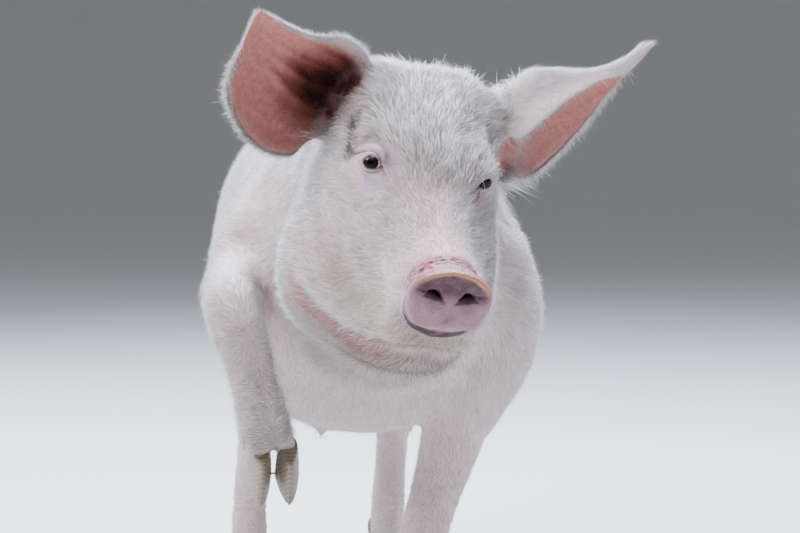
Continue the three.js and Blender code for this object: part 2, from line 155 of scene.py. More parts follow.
# Matt floor paint, rolled on: it gives the eye an even pale ground without shine.
floor_paint, tree = new_material("matt_floor_paint")
surface = add(tree, "BsdfPrincipled", {"Base Color": "#cfcdc9", "Roughness": 0.85})
add(tree, "OutputMaterial", {"Surface": surface.outputs[0]})
# The floor is round and curves up into a wall: a circle's profile of quarter ellipse, turned about the
# middle.
climb = np.radians(np.linspace(0, 90, FLOOR_RINGS))
reach = np.concatenate([[0.01], FLOOR_FLAT + (WALL_AT - FLOOR_FLAT) * np.sin(climb)])[:, None]
level = np.concatenate([[0], WALL_HEIGHT * (1 - np.cos(climb))])[:, None]
turn = np.linspace(0, 2 * np.pi, FLOOR_SPOKES + 1)[None, :-1]
rings = np.stack([reach * np.cos(turn), reach * np.sin(turn), level + 0 * turn], -1)
spoke, first = np.arange(FLOOR_SPOKES), np.arange(FLOOR_RINGS)[:, None] * FLOOR_SPOKES
corner, following = first + spoke, first + (spoke + 1) % FLOOR_SPOKES
outer, outer_following = corner + FLOOR_SPOKES, following + FLOOR_SPOKES
faces = np.stack([corner, outer, outer_following, following], -1).reshape(-1, 4)
floor_mesh = bpy.data.meshes.new("floor")
floor_mesh.from_pydata(rings.reshape(-1, 3).tolist(), [], [spoke.tolist(), *faces.tolist()])
floor_mesh.polygons.foreach_set("use_smooth", np.ones(len(floor_mesh.polygons), bool))
floor_mesh.materials.append(floor_paint)
floor = bpy.data.objects.new("floor", floor_mesh)
bpy.context.scene.collection.objects.link(floor)

# ---------------------------------------------------------------- ears as leaves
# Each ear is one leaf of gristle under thin skin, stiff and upright, curled round its opening. The leaves are
# worked out finely here and grow into the skin below.

# Rows from inside the head to the tip: front edge, rib at the back and outer edge, each as sideways, forward
# and up in the head, in mm.
EAR_ROWS = {
    "right": [
        [-36, 38, 84, -50, 8, 66, -84, 36, 34],
        [-50, 37, 110, -71, -8, 80, -104, 40, 42],
        [-69, 30, 145, -90, -10, 93, -134, 54, 26],
        [-99, 30, 161, -118, -5, 105, -173, 59, 33],
        [-129, 40, 161, -149, 5, 124, -204, 58, 61],
        [-161, 46, 168, -175, 20, 146, -219, 56, 98],
        [-185, 50, 179, -192, 38, 166, -213, 55, 140],
        [-199, 54, 186, -202, 51, 182, -206, 53, 176],
    ],
    "left": [
        [62, 62, 66, 62, 24, 88, 86, 36, 14],
        [82, 74, 84, 91, 24, 126, 112, 36, 20],
        [106, 84, 92, 118, 30, 152, 140, 43, 34],
        [129, 88, 121, 143, 42, 164, 165, 48, 69],
        [153, 90, 154, 168, 56, 172, 186, 55, 112],
        [179, 93, 178, 188, 70, 185, 200, 66, 154],
        [202, 99, 191, 206, 80, 205, 208, 80, 182],
        [219, 96, 210, 220, 80, 222, 222, 79, 203],
        [232, 88, 227, 232, 84, 232, 231, 84, 225],
    ],
}
EAR_ROOT, EAR_TIP = 5.0, 2.0  # half thickness of the leaf, in mm
EAR_STEPS, EAR_ACROSS = 90, 61  # points of its grid along and across


def soft_step(value, start, end):
    """0 before start, 1 after end, and a smooth cubic between them; start may be above end."""
    share = np.clip((value - start) / (end - start), 0, 1)
    return share * share * (3 - 2 * share)


def unit(vectors):
    """Vectors at length 1."""
    return vectors / np.maximum(np.linalg.norm(vectors, axis=-1, keepdims=True), 1e-12)


def from_head(points):
    """Points given sideways, forward and up in the head, in mm, as places in the row frame."""
    points = np.asarray(points, float)
    return HEAD_AT + (points * [1, -1, 1] * MM) @ HEAD_TURN.T


def to_head(places):
    """Places in the row frame as sideways, forward and up in the head, in mm."""
    return (places - HEAD_AT) @ HEAD_TURN * [1, -1, 1] / MM


def catmull_rom(rows, count):
    """Rows resampled at even steps of the Catmull-Rom curve through them, with the end rows doubled."""
    rows = np.asarray(rows, float)
    held = np.concatenate([rows[:1], rows, rows[-1:]])
    at = np.linspace(0, len(rows) - 1, count)
    i = np.minimum(at.astype(int), len(rows) - 2)
    f = (at - i)[:, None]
    a, b, c, d = (held[i + k] for k in range(4))
    return b + 0.5 * f * (c - a + f * (2 * a - 5 * b + 4 * c - d + f * (3 * (b - c) + d - a)))


def ear_leaf(rows):
    """The leaf's middle surface on a grid along and across it, its outward side there and its half thickness.
    A cross-section is rib + half t + cup t squared, for t from -1 at the front edge to 1 at the outer
    edge."""
    lines = from_head(catmull_rom(rows, EAR_STEPS).reshape(EAR_STEPS, 3, 3))
    front, rib, outer = lines[:, None, 0], lines[:, None, 1], lines[:, None, 2]
    t = np.linspace(-1, 1, EAR_ACROSS)[None, :, None]
    half, cup = (outer - front) / 2, (outer + front) / 2 - rib
    middle_surface = rib + half * t + cup * t * t
    along = np.gradient(rib[:, 0], axis=0)[:, None]
    side = unit(np.cross(half + 2 * cup * t, along))
    side *= -np.sign((side * cup).sum(-1, keepdims=True).mean())
    share = np.linspace(0, 1, EAR_STEPS)[:, None, None]
    thick = (EAR_ROOT + (EAR_TIP - EAR_ROOT) * share) * np.sqrt(np.maximum(1 - t**4, 0.4)) * MM
    return middle_surface, side, thick


def grid_triangles(rows, columns, closed):
    """Corner indices of a grid's triangles, row by row. A closed grid joins its last column to its first."""
    i, j = np.meshgrid(np.arange(rows - 1), np.arange(columns if closed else columns - 1), indexing="ij")
    a, b = i * columns + j, i * columns + (j + 1) % columns
    c, d = a + columns, b + columns
    return np.stack([a, b, d, a, d, c], -1).reshape(-1, 3)


def capped(rings):
    """A closed tube through rings of points: its vertices, with a middle point at each end, and its
    triangles."""
    rows, columns = rings.shape[:2]
    places = np.concatenate([rings.reshape(-1, 3), rings[0].mean(0)[None], rings[-1].mean(0)[None]])
    k = np.arange(columns)
    first = np.stack([k, np.full(columns, rows * columns), (k + 1) % columns], 1)
    last = (rows - 1) * columns + np.stack([k, (k + 1) % columns, k], 1)
    last[:, 2] = rows * columns + 1
    return places, np.concatenate([grid_triangles(rows, columns, True), first[:, ::-1], last[:, ::-1]])


leaves = {name: ear_leaf(rows) for name, rows in EAR_ROWS.items()}
ear_shells = []
for leaf, side, thick in leaves.values():
    ear_shells.append(capped(np.concatenate([leaf + side * thick, (leaf - side * thick)[:, ::-1]], 1)))

# Muscles at the foot of the left ear, each its middle and its half sizes, in the head, in mm.
EAR_MUSCLES = [((82, 48, 92), (17, 18, 30)), ((96, 40, 60), (17, 16, 26)), ((73, 66, 94), (15, 19, 22))]
# A muscle is a ball drawn out to its half sizes, from angles off its axis and round it.
polar, turn = np.radians(np.linspace(4, 176, 24)), np.radians(np.arange(0, 360, 10))
polar, turn = np.meshgrid(polar, turn, indexing="ij")
ball = np.stack([np.sin(polar) * np.cos(turn), np.sin(polar) * np.sin(turn), -np.cos(polar)], -1)
for centre, half in EAR_MUSCLES:
    ear_shells.append(capped(from_head(np.array(centre) + ball * half)))

# ---------------------------------------------------------------- skin
# One hide covers the trunk, neck, head, legs, tail and ears without a seam: thin pink skin that lies inside
# the solids by the depth of the coat. The solids are melted together, smoothed, and then folded and creased.

FLESH = ["trunk", "neck", "head", "jaw", "ear_left", "ear_right", "snout_disc", "tail"]
FLESH += [f"{end}_{side}" for end in ("foreleg", "hindleg") for side in ("left", "right")]
HORN = [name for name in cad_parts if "claw" in name]
GRAIN = 2.5 * MM  # edge of the fine mesh before it is thinned
SHARE_LEVELS = 64  # steps in which a modifier's share over the mesh is kept
SMOOTH_FACTOR, SMOOTH_STEPS = 1.7, 140  # strength and number of the smoothing steps
SKIN_TRIANGLES = 192000


def triangles_of(mesh):
    """A mesh's vertex places and its triangles' corner indices as arrays."""
    mesh.calc_loop_triangles()
    places = np.empty(len(mesh.vertices) * 3, np.float32)
    mesh.vertices.foreach_get("co", places)
    corners = np.empty(len(mesh.loop_triangles) * 3, np.int32)
    mesh.loop_triangles.foreach_get("vertices", corners)
    return places.reshape(-1, 3).astype(float), corners.reshape(-1, 3).astype(np.int64)


def joined(shells):
    """Several shells of places and triangles as one."""
    starts = np.cumsum([0] + [len(places) for places, _ in shells[:-1]])
    return (
        np.concatenate([places for places, _ in shells]),
        np.concatenate([corners + start for (_, corners), start in zip(shells, starts)]),
    )


def new_piece(name, places, triangles, material=None, smooth=True):
    """A mesh object from arrays of places and triangles, in the scene, at the origin."""
    mesh = bpy.data.meshes.new(name)
    mesh.vertices.add(len(places))
    mesh.vertices.foreach_set("co", places.astype(np.float32).ravel())
    mesh.loops.add(triangles.size)
    mesh.loops.foreach_set("vertex_index", triangles.astype(np.int32).ravel())
    mesh.polygons.add(len(triangles))
    mesh.polygons.foreach_set("loop_start", np.arange(0, triangles.size, 3, dtype=np.int32))
    mesh.polygons.foreach_set("use_smooth", np.full(len(triangles), smooth))
    mesh.update(calc_edges=True)
    if material:
        mesh.materials.append(material)
    piece = bpy.data.objects.new(name, mesh)
    bpy.context.scene.collection.objects.link(piece)
    return piece


def finished(places, triangles, kind, share=None, **settings):
    """Places and triangles after one modifier of that kind with those settings, by each vertex's share of
    it."""
    piece = new_piece("work", places, triangles)
    modifier = piece.modifiers.new(kind, kind)
    if share is not None:
        group = piece.vertex_groups.new(name="share")
        levels = np.round(share * SHARE_LEVELS).astype(int)
        for level in range(1, SHARE_LEVELS + 1):
            group.add(np.flatnonzero(levels == level).tolist(), level / SHARE_LEVELS, "REPLACE")
        modifier.vertex_group = group.name
    for name, value in settings.items():
        setattr(modifier, name, value)
    evaluated = piece.evaluated_get(bpy.context.evaluated_depsgraph_get())
    result = triangles_of(evaluated.to_mesh())
    evaluated.to_mesh_clear()
    mesh = piece.data
    bpy.data.objects.remove(piece)
    bpy.data.meshes.remove(mesh)
    return result


melted = [name for name in FLESH + HORN + ["eye_left", "eye_right"] if "ear_" not in name]
solids = [triangles_of(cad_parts[name].data) for name in melted]
skin_at, skin_faces = finished(*joined(solids + ear_shells), "REMESH", mode="VOXEL", voxel_size=GRAIN)


def normals_of(places, triangles):
    """Vertex normals: the sum of the normals of the triangles at each vertex, by their area."""
    a, b, c = (places[triangles[:, k]] for k in range(3))
    normal = np.cross(b - a, c - a)
    total = [sum(np.bincount(triangles[:, k], part, len(places)) for k in range(3)) for part in normal.T]
    return unit(np.stack(total, 1))


trunk_low, trunk_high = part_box("trunk")
TRUNK_BACK = 906  # the buttocks, behind the elbow line, in mm
BODY_AT = np.array([(trunk_low.x + trunk_high.x) / 2, trunk_high.y - TRUNK_BACK * MM, 0])


def to_body(places):
    """Places as sideways from the middle of the trunk, behind the elbows and above the floor, in mm."""
    return (places - BODY_AT) / MM


def on_leaf(places, leaf, side, reach=30 * MM):
    """Where places lie on an ear's leaf: share along it, t across it, height over its outer side in mm, and
    how far off they are in mm. The nearest of a coarse set of leaf points is moved by one Newton step."""
    coarse = leaf[::3, ::3]
    ups, downs = np.gradient(leaf, axis=0)[::3, ::3] * (EAR_STEPS - 1), np.gradient(leaf, axis=1)[::3, ::3]
    downs = downs * (EAR_ACROSS - 1) / 2
    flat = [grid.reshape(-1, 3) for grid in (coarse, ups, downs, side[::3, ::3])]
    u0, t0 = np.linspace(0, 1, EAR_STEPS)[::3], np.linspace(-1, 1, EAR_ACROSS)[::3]
    u0, t0 = np.meshgrid(u0, t0, indexing="ij")
    along, across, height, off = (np.full(len(places), value) for value in (0.0, 0.0, 0.0, 999.0))
    low, high = leaf.reshape(-1, 3).min(0) - reach, leaf.reshape(-1, 3).max(0) + reach
    near = np.flatnonzero(((places > low) & (places < high)).all(1))
    for part in np.array_split(near, max(len(near) // 6000, 1)):
        gap = places[part][:, None] - flat[0][None]
        best = (gap * gap).sum(-1).argmin(1)
        start, p, q, side_here = (grid[best] for grid in flat)
        away = places[part] - start
        uu, vv, uv = (p * p).sum(1), (q * q).sum(1), (p * q).sum(1)
        pu, pv = (away * p).sum(1), (away * q).sum(1)
        det = uu * vv - uv * uv
        du, dt = (pu * vv - pv * uv) / det, (pv * uu - pu * uv) / det
        du, dt = np.clip(du, -0.05, 0.05), np.clip(dt, -0.15, 0.15)
        foot = away - p * du[:, None] - q * dt[:, None]
        along[part], across[part] = u0.ravel()[best] + du, t0.ravel()[best] + dt
        height[part] = (foot * side_here).sum(1) / MM
        off[part] = np.linalg.norm(foot, axis=1) / MM
    return along, across, height, off


def regions(places):
    """Soft shares from 0 to 1 of the parts of the body at places, by name."""
    x, y, z = to_body(places).T
    hx, s = to_head(places).T[:2]
    part = {}
    part["head"] = soft_step(s, -70, 10) * soft_step(np.abs(hx), 240, 200)
    part["snout"] = soft_step(s, 308, 318)
    for name, (leaf, side, _) in leaves.items():
        along, across, height, off = on_leaf(places, leaf, side)
        part[f"ear_{name}"] = soft_step(off, 15, 9) * soft_step(along, 0.16, 0.3)
        part[f"ear_{name}_at"] = along, across, height
    part["ear"] = np.maximum(part["ear_right"], part["ear_left"])
    ends = np.maximum(soft_step(y, 150, 80), soft_step(y, 590, 640))
    raised = soft_step(y, -150, -190) * soft_step(x, -100, -120) * soft_step(z, 560, 520)
    part["leg"] = np.maximum(soft_step(z, 410, 330) * ends, raised * (1 - part["head"]))
    part["foot"] = np.maximum(soft_step(z, 110, 70), raised * soft_step(z, 390, 350))
    part["tail"] = soft_step(y, 895, 910)
    return part


def ridge(distance, width):
    """1 on a line and falling off to both sides as a bell of that width."""
    return np.exp(-((distance / width) ** 2))


def mirrored(head_points):
    """Points with their sideways measure from the head's middle made positive."""
    return head_points * np.where(head_points[:, :1] < 0, [[-1, 1, 1]], [[1, 1, 1]])


part = regions(skin_at)
# How much each place is smoothed: the trunk fully, the head and legs little, the feet, snout and ears hardly.
melt = 1 - 0.86 * part["head"] - 0.88 * part["leg"]
ear_foot = ridge(np.linalg.norm(mirrored(to_head(skin_at)) - [84, 46, 96], axis=1), 36)
melt = np.clip(melt + 0.8 * ear_foot * part["head"], 0.12, 1)
for name, most in (("foot", 0.05), ("snout", 0.03), ("tail", 0.04), ("ear", 0.03)):
    melt = melt * (1 - part[name]) + most * part[name]
skin_at, skin_faces = finished(
    skin_at, skin_faces, "SMOOTH", share=melt, factor=SMOOTH_FACTOR, iterations=SMOOTH_STEPS,
)
# Depth of the coat, in mm.
depth = 3.2 - 1.4 * part["head"] - 1.0 * part["leg"]
for name, most in (("foot", 1.8), ("snout", 0.6), ("tail", 1.5), ("ear", 0.7)):
    depth = depth * (1 - part[name]) + most * part[name]
skin_at = skin_at - normals_of(skin_at, skin_faces) * (depth * MM)[:, None]


def noise(points, size, seed):
    """Smooth noise from -1 to 1 with bumps about that size: random values at the corners of a lattice, joined
    by smooth cubic weights. points and size share one unit."""
    at = points / size + 1000 + seed * 37.7
    cell = np.floor(at).astype(np.int64)
    f = at - cell
    f = f * f * (3 - 2 * f)
    total = np.zeros(len(points))
    for i, j, k in np.ndindex(2, 2, 2):
        corner = cell + [i, j, k]
        mixed = (corner * [73856093, 19349663, 83492791]).sum(1) ^ (seed * 2654435761)
        mixed = (mixed ^ (mixed >> 13)) * 1274126177 & 0x7FFFFFFF
        value = ((mixed ^ (mixed >> 16)) & 0xFFFF) / 32767.5 - 1
        weight = np.where([i, j, k], f, 1 - f).prod(1)
        total += weight * value
    return total


def along_line(points, line):
    """Distance of points from a line through places, and the nearest place on it."""
    line = np.asarray(line, float)
    best, nearest = np.full(len(points), np.inf), np.zeros((len(points), 3))
    for start, end in zip(line[:-1], line[1:]):
        step = end - start
        share = np.clip(((points - start) @ step) / (step @ step), 0, 1)
        foot = start + share[:, None] * step
        gap = np.linalg.norm(points - foot, axis=1)
        closer = gap < best
        best[closer], nearest[closer] = gap[closer], foot[closer]
    return best, nearest


def refined(places, triangles, longest):
    """Halves every edge that is longer than longest(its middle). A triangle with one, two or three halved
    edges becomes two, three or four triangles."""
    sides = np.sort(triangles[:, [[0, 1], [1, 2], [2, 0]]].reshape(-1, 2), axis=1)
    keys, first, back = np.unique(sides @ [len(places), 1], return_index=True, return_inverse=True)
    ends = sides[first]
    middle = places[ends].mean(1)
    length = np.linalg.norm(places[ends[:, 0]] - places[ends[:, 1]], axis=1)
    split = length > longest(middle)
    number = np.full(len(keys), -1)
    number[split] = len(places) + np.arange(split.sum())
    m = number[back.reshape(-1)].reshape(-1, 3)
    pattern = (m >= 0) @ [1, 2, 4]
    made = [triangles[pattern == 0]]
    for k in range(3):
        a, b, c = (triangles[:, (k + n) % 3] for n in range(3))
        ab, bc, ca = (m[:, (k + n) % 3] for n in range(3))
        one, two = pattern == 1 << k, pattern == 7 - (1 << (k + 2) % 3)
        for rows, shapes in (
            (one, [(a, ab, c), (ab, b, c)]),
            (two, [(ab, b, bc), (a, ab, c), (ab, bc, c)]),
        ):
            made += [np.stack([corner[rows] for corner in shape], 1) for shape in shapes]
    a, b, c, ab, bc, ca = (*triangles[pattern == 7].T, *m[pattern == 7].T)
    made += [np.stack(shape, 1) for shape in ((a, ab, ca), (ab, b, bc), (ca, bc, c), (ab, bc, ca))]
    return np.concatenate([places, middle[split]]), np.concatenate(made)


# Creases of the face, each as the head's sideways (to either side), forward and up, in mm.
LIP_LINE = [(116, 100, -84), (112, 114, -94), (91, 165, -99), (68, 205, -103), (56, 236, -95), (45, 268, -82)]
LIP_LINE += [(29, 289, -74), (11, 300, -66), (-11, 300, -66)]
CHIN_LINE = [(103, 118, -126), (84, 160, -130), (62, 200, -130), (40, 245, -114), (21, 274, -98)]
CHIN_LINE += [(0, 284, -90)]
MUZZLE_LINE = [(67, 190, -18), (60, 219, -24), (55, 250, -24), (52, 270, -28), (52, 275, -42)]
TEAR_LINE = [(54, 144, 64), (51, 151, 58), (47, 161, 52), (44, 171, 47)]
LID_LINE = [(78, 114, 60), (76, 120, 66), (72, 127, 72), (65, 134, 76), (59, 138, 75), (56, 142, 70)]
LID_LINE += [(54, 144, 64)]
BROW_LINE = [(80, 96, 66), (73, 106, 75), (63, 115, 81), (54, 127, 82), (49, 140, 75), (46, 152, 66)]
BALL = 12.5  # radius of the eyeball
# Opening of the lids: its middle seen from the ball's middle, its turn with the inner corner down, and its
# reach to the inner and outer corner, up and down, all in degrees. The left eye is drawn up further.
LIDS = {
    "right": ((-0.38, 0.78, 0.49), 5, 59, 43, 31, 34),
    "left": ((0.20, 0.97, 0.13), 36, 48, 26, 17, 28),
}
# Folds of the lower lid: height, place and width of the bulge, place and width of the groove after it, in mm.
LID_FOLDS = [(0.4, 1.8, 1.0, 4.0, 0.6), (0.6, 5.8, 1.2, 8.2, 0.7), (0.6, 10.4, 1.4, 13.0, 0.9)]
# The snout's disc: its front, the height of its middle, and its half width and height.
DISC_S, DISC_Z, DISC_HALF, DISC_TALL = 333, -1, 46, 35.5
NOSTRIL_X, NOSTRIL_Z = 16.5, 4  # middle of a nostril


def eye_frame(side):
    """The middle of an eyeball in the head and its three axes: to the inner corner, up, and out of the
    opening."""
    sign = -1 if side == "right" else 1
    gaze, turn = LIDS[side][:2]
    out = unit(np.array(gaze))
    inner = np.array([-sign * 0.97, 0.23, 0])
    inner = unit(inner - (inner @ out) * out)
    up = np.array([0, 0, 1.0])
    up = unit(up - (up @ out) * out - (up @ inner) * inner)
    c, d = np.cos(np.radians(turn)), np.sin(np.radians(turn))
    return np.array([sign * EYE_X, EYE_S, EYE_Z]), c * inner - d * up, c * up + d * inner, out


def lid_place(head_points, side):
    """Where points lie round an eye: distance from the ball's middle, how far outside the opening of the lids
    in mm (below 0 inside it), and the angle up. The opening is an almond with pointed corners."""
    middle, inner, up, out = eye_frame(side)
    away = head_points - middle
    far = np.linalg.norm(away, axis=1)
    a = np.degrees(np.arctan2(away @ inner, away @ out))
    b = np.degrees(np.arctan2(away @ up, away @ out))
    to_inner, to_outer, upward, downward = LIDS[side][2:]
    reach_a = np.where(a > 0, to_inner, to_outer)
    reach_b = np.where(b > 0, upward, downward)
    rho = (np.abs(a / reach_a) ** 1.8 + np.abs(b / reach_b) ** 1.8) ** (1 / 1.8)
    return far, (rho - 1) * np.radians(33) * BALL, b


def round_eye(head_points, line, side, radius=16.0):
    """Distance of points from a line on a sphere of that radius round an eye's middle, whatever their own
    distance from it, in mm."""
    centre = eye_frame(side)[0]
    line = np.array(line) * ([-1, 1, 1] if side == "right" else [1, 1, 1])
    return along_line(unit(head_points - centre) * radius, unit(line - centre) * radius)[0]


def finest(places):
    """The longest edge wanted at places, in metres: short at the eyes, the nostrils, the lips and the
    snout."""
    head = to_head(places)
    wanted = np.full(len(places), 9.0)
    near = (head[:, 1] > 60) & (np.abs(head[:, 0]) < 140) & (head[:, 2] < 120)
    h = head[near]
    local = np.full(len(h), 9.0)
    local[along_line(mirrored(h), LIP_LINE)[0] < 12] = 2.0
    for side in LIDS:
        far = lid_place(h, side)[0]
        local = np.where(far < 32, 1.7, local)
        local = np.where(far < 21, 0.75, local)
    q = np.hypot(h[:, 0] / DISC_HALF, (h[:, 2] - DISC_Z) / DISC_TALL)
    local = np.where((h[:, 1] > 280) & (q < 1.6), 1.8, local)
    slit = np.hypot(np.abs(h[:, 0]) - NOSTRIL_X, h[:, 2] - NOSTRIL_Z)
    local = np.where((h[:, 1] > 300) & (slit < 14), 1.1, local)
    wanted[near] = np.minimum(wanted[near], local)
    return wanted * MM


for _ in range(2):
    skin_at, skin_faces = refined(skin_at, skin_faces, finest)


def face_form(h):
    """How far the head's skin stands out along its normal at head points, in mm: lips, folds, wrinkles and
    chin."""
    m = mirrored(h)
    x, s, z = m.T
    rise = np.zeros(len(h))
    gap, foot = along_line(m, LIP_LINE)
    above = z - foot[:, 2]
    open_end = soft_step(foot[:, 0], 118, 106)
    rise += open_end * (-2.6 * ridge(gap, 3.2) + 3.4 * ridge(gap - 8, 7) * soft_step(above, -2, 4))
    rise += open_end * 0.9 * ridge(gap - 8, 6) * soft_step(above, 1, -4)
    gap, foot = along_line(m, CHIN_LINE)
    rise += -1.5 * ridge(gap, 6.0) + 1.6 * ridge(gap - 15, 10) * soft_step(z - foot[:, 2], 0, -6)
    gap = along_line(m, MUZZLE_LINE)[0]
    rise += -3.2 * ridge(gap, 7.5) + 1.2 * ridge(gap - 15, 7)
    rise += 5.0 * ridge(np.linalg.norm(h - [88, 160, -20], axis=1), 48)
    gap = along_line(m, TEAR_LINE)[0]
    rise += -1.1 * ridge(gap, 1.3)
    # Swelling of the socket, so that the ball lies in the head.
    rise += 5.2 * ridge(np.linalg.norm(m - [EYE_X + 3, EYE_S + 5, EYE_Z + 3], axis=1), 32)
    # Wrinkles round the top of the snout, behind its disc.
    behind = DISC_S - 13 - s
    upper = soft_step(z, -12, 6)
    band = soft_step(behind, 36, 20) * soft_step(behind, -1, 3) * upper
    rise += band * 1.7 * np.maximum(noise(h, 5.5, 8), -0.3)
    warp = noise(h, 9, 3) * 1.6
    rise += band * (0.35 * np.sin((behind + warp) * 2 * np.pi / 6.2) + 1.0 * noise(h, 3.2, 4))
    rise += -3.6 * ridge(behind - 1, 3.0) * soft_step(z, -30, -10)
    # Bridge of the nose with a shallow trough on each side.
    rise += -2.2 * ridge(x - 42, 10) * ridge(s - 225, 45) * ridge(z - 18, 22)
    rise += 1.4 * ridge(x, 22) * ridge(s - 240, 50) * soft_step(z, 0, 30)
    # Frown lines of the forehead and soft wrinkles of the cheek.
    rise += 0.5 * ridge(x - 14 - 5 * noise(h, 30, 5), 3) * ridge(s - 120, 40) * soft_step(z, 60, 90)
    return rise


def lids(places, head, side):
    """Moves skin at an eye along the lines from the ball's middle: behind the ball in the opening, over a
    thick wet margin at its edge, and onto the lids, which have a deep crease above and fine wrinkles
    below."""
    middle, _, _, out = eye_frame(side)
    far, outside, b = lid_place(head, side)
    rows = np.flatnonzero((far < 40) & (((head - middle) @ out) > -4))
    far, outside, b, away = far[rows], outside[rows], b[rows], head[rows] - middle
    upper, lower = soft_step(b, 0, 18), soft_step(b, 0, -18)
    lid = BALL + 0.8 + 0.5 * soft_step(outside, 0, 2)
    sunk = np.maximum(far - lid, 0) * soft_step(outside, 1, 11)
    mound = np.maximum(lid - far, 0) * soft_step(outside, 30, 4)
    reach = np.where(far > lid, lid + sunk, far + mound)
    crease, brow = (round_eye(head[rows], line, side) for line in (LID_LINE, BROW_LINE))
    reach += (outside > 1.0) * (-2.0 * ridge(crease, 1.1) + 1.6 * ridge(crease - 4, 2.4) * upper)
    reach += -1.2 * ridge(brow, 1.6) + 1.3 * ridge(brow - 4.5, 3.0) * soft_step(outside, 8, 14)
    for high, bulge, wide, groove, narrow in LID_FOLDS:
        reach += lower * (high * ridge(outside - bulge, wide) - 0.9 * ridge(outside - groove, narrow))
    inside = soft_step(outside, 0.25, -0.45)
    reach = reach * (1 - inside) + (BALL - 3.2) * inside
    moved = middle + away / np.linalg.norm(away, axis=1)[:, None] * reach[:, None]
    places[rows] = from_head(moved)
    head[rows] = moved


def nostril_place(x, z):
    """How far out points of the disc lie in a nostril, 1 at its edge, and in the groove that runs out from
    it."""
    side, turn = np.abs(x), np.radians(14)
    u = (side - NOSTRIL_X) * np.cos(turn) + (z - NOSTRIL_Z) * np.sin(turn)
    v = -(side - NOSTRIL_X) * np.sin(turn) + (z - NOSTRIL_Z) * np.cos(turn)
    return np.hypot(u / 8.2, (v + 0.02 * u * u) / 2.0), np.hypot((u - 10) / 12, (v - 1.0) / 2.6)


def snout_form(places, head):
    """Shapes the disc: a turned-up rim, a dished face with soft cushions under the nostrils, and the
    nostrils, which are slits that run out and up towards the rim."""
    rows = np.flatnonzero((head[:, 1] > DISC_S - 14) & (np.abs(head[:, 0]) < 60) & (np.abs(head[:, 2]) < 50))
    x, s, z = head[rows].T
    side = np.abs(x)
    q = np.hypot(x / DISC_HALF, (z - DISC_Z) / DISC_TALL)
    face = soft_step(s, DISC_S - 11, DISC_S - 3)
    top = soft_step(z, 0, 22)
    ahead = face * (0.3 + 3.4 * top) * ridge(q - 0.95, 0.075)
    ahead += face * (-4.2 * ridge(z - 14, 8) * ridge(x, 36) + 4.0 * ridge(np.hypot(side - 17, z + 13), 10))
    ahead += face * (-1.6 * ridge(x, 4.5) * soft_step(z, 10, -4) * soft_step(z, -28, -16))
    ahead += face * (0.9 * ridge(z + 24, 6) * ridge(x, 26) + 0.35 * noise(head[rows], 4, 6))
    hole, tail = nostril_place(x, z)
    ahead += -21 * soft_step(hole, 1.12, 0.62) - 3.4 * ridge(hole - 1.1, 0.5)
    ahead += -2.6 * soft_step(tail, 1.25, 0.2) * face
    places[rows] += (ahead * MM)[:, None] * -HEAD_TURN[:, 1]
    # The lower edge is flat, with full corners.
    corner = 3.4 * ridge(side - 29, 9) * ridge(z + 25, 9)
    flat = -2.0 * ridge(x, 15) * soft_step(z, -27, -34)
    out, down = (corner * np.sign(x) * 0.8)[:, None], (corner + flat)[:, None]
    places[rows] += (out * HEAD_TURN[:, 0] - down * HEAD_TURN[:, 2]) * MM


# Teats: how far sideways, the first one behind the elbows, and apart, in mm, and how many on a side.
TEAT_X, TEAT_FIRST, TEAT_STEP, TEATS = 58, 100, 78, 7
# Lines where the hide folds in or bulges over the body, as sideways, behind the elbows and up, with how far
# it stands out and how wide, in mm.
BODY_LINES = [
    ([(120, -150, 700), (165, -95, 560), (120, -120, 420)], -6.0, 9),
    ([(110, -190, 690), (150, -150, 570), (110, -170, 450)], -5.0, 7),
    ([(190, 130, 640), (196, 118, 560), (190, 95, 430), (165, 90, 345)], -9.0, 24),
    ([(170, 20, 640), (190, -10, 520), (180, -20, 430)], 3.5, 40),
    ([(200, 590, 640), (195, 570, 540), (190, 560, 430), (150, 580, 330)], -11.0, 32),
    ([(190, 700, 620), (190, 700, 500)], 3.0, 60),
    ([(0, 905, 600), (0, 900, 540), (0, 850, 450), (0, 790, 385)], -14.0, 11),
    ([(0, 100, 760), (0, 780, 720)], 2.5, 30),
]
# Wrinkles across the pasterns and the joints above them: how deep, and at which levels, in mm.
JOINT_WRINKLES = [(1.4, (96, 108, 122)), (0.77, (205, 222, 240)), (0.56, (262, 280))]


def body_form(places, normals):
    """How far the body's skin stands out along its normal, in mm: muscles, folds where limbs meet the trunk,
    rings of the neck, wrinkles of the joints, and low waves."""
    b = to_body(places)
    x, y, z = b.T
    side = np.abs(x)
    m = np.stack([side, y, z], 1)
    rise = 1.5 * noise(b, 75, 11) + 0.7 * noise(b, 28, 12) + 0.25 * noise(b, 9, 13)
    for line, height, wide in BODY_LINES:
        rise += height * ridge(along_line(m, line)[0], wide)
    for depth, levels in JOINT_WRINKLES:
        for level in levels:
            rise -= depth * ridge(z - level - 3 * noise(b, 20, 14), 2.6) * soft_step(z, 330, 290)
    down = soft_step(-normals[:, 2], 0.3, 0.7)
    for k in range(TEATS):
        gap = np.hypot(side - TEAT_X, y - TEAT_FIRST - TEAT_STEP * k)
        rise += down * soft_step(z, 420, 380) * (8.5 * ridge(gap, 4.6) + 3.0 * ridge(gap, 14))
    return rise


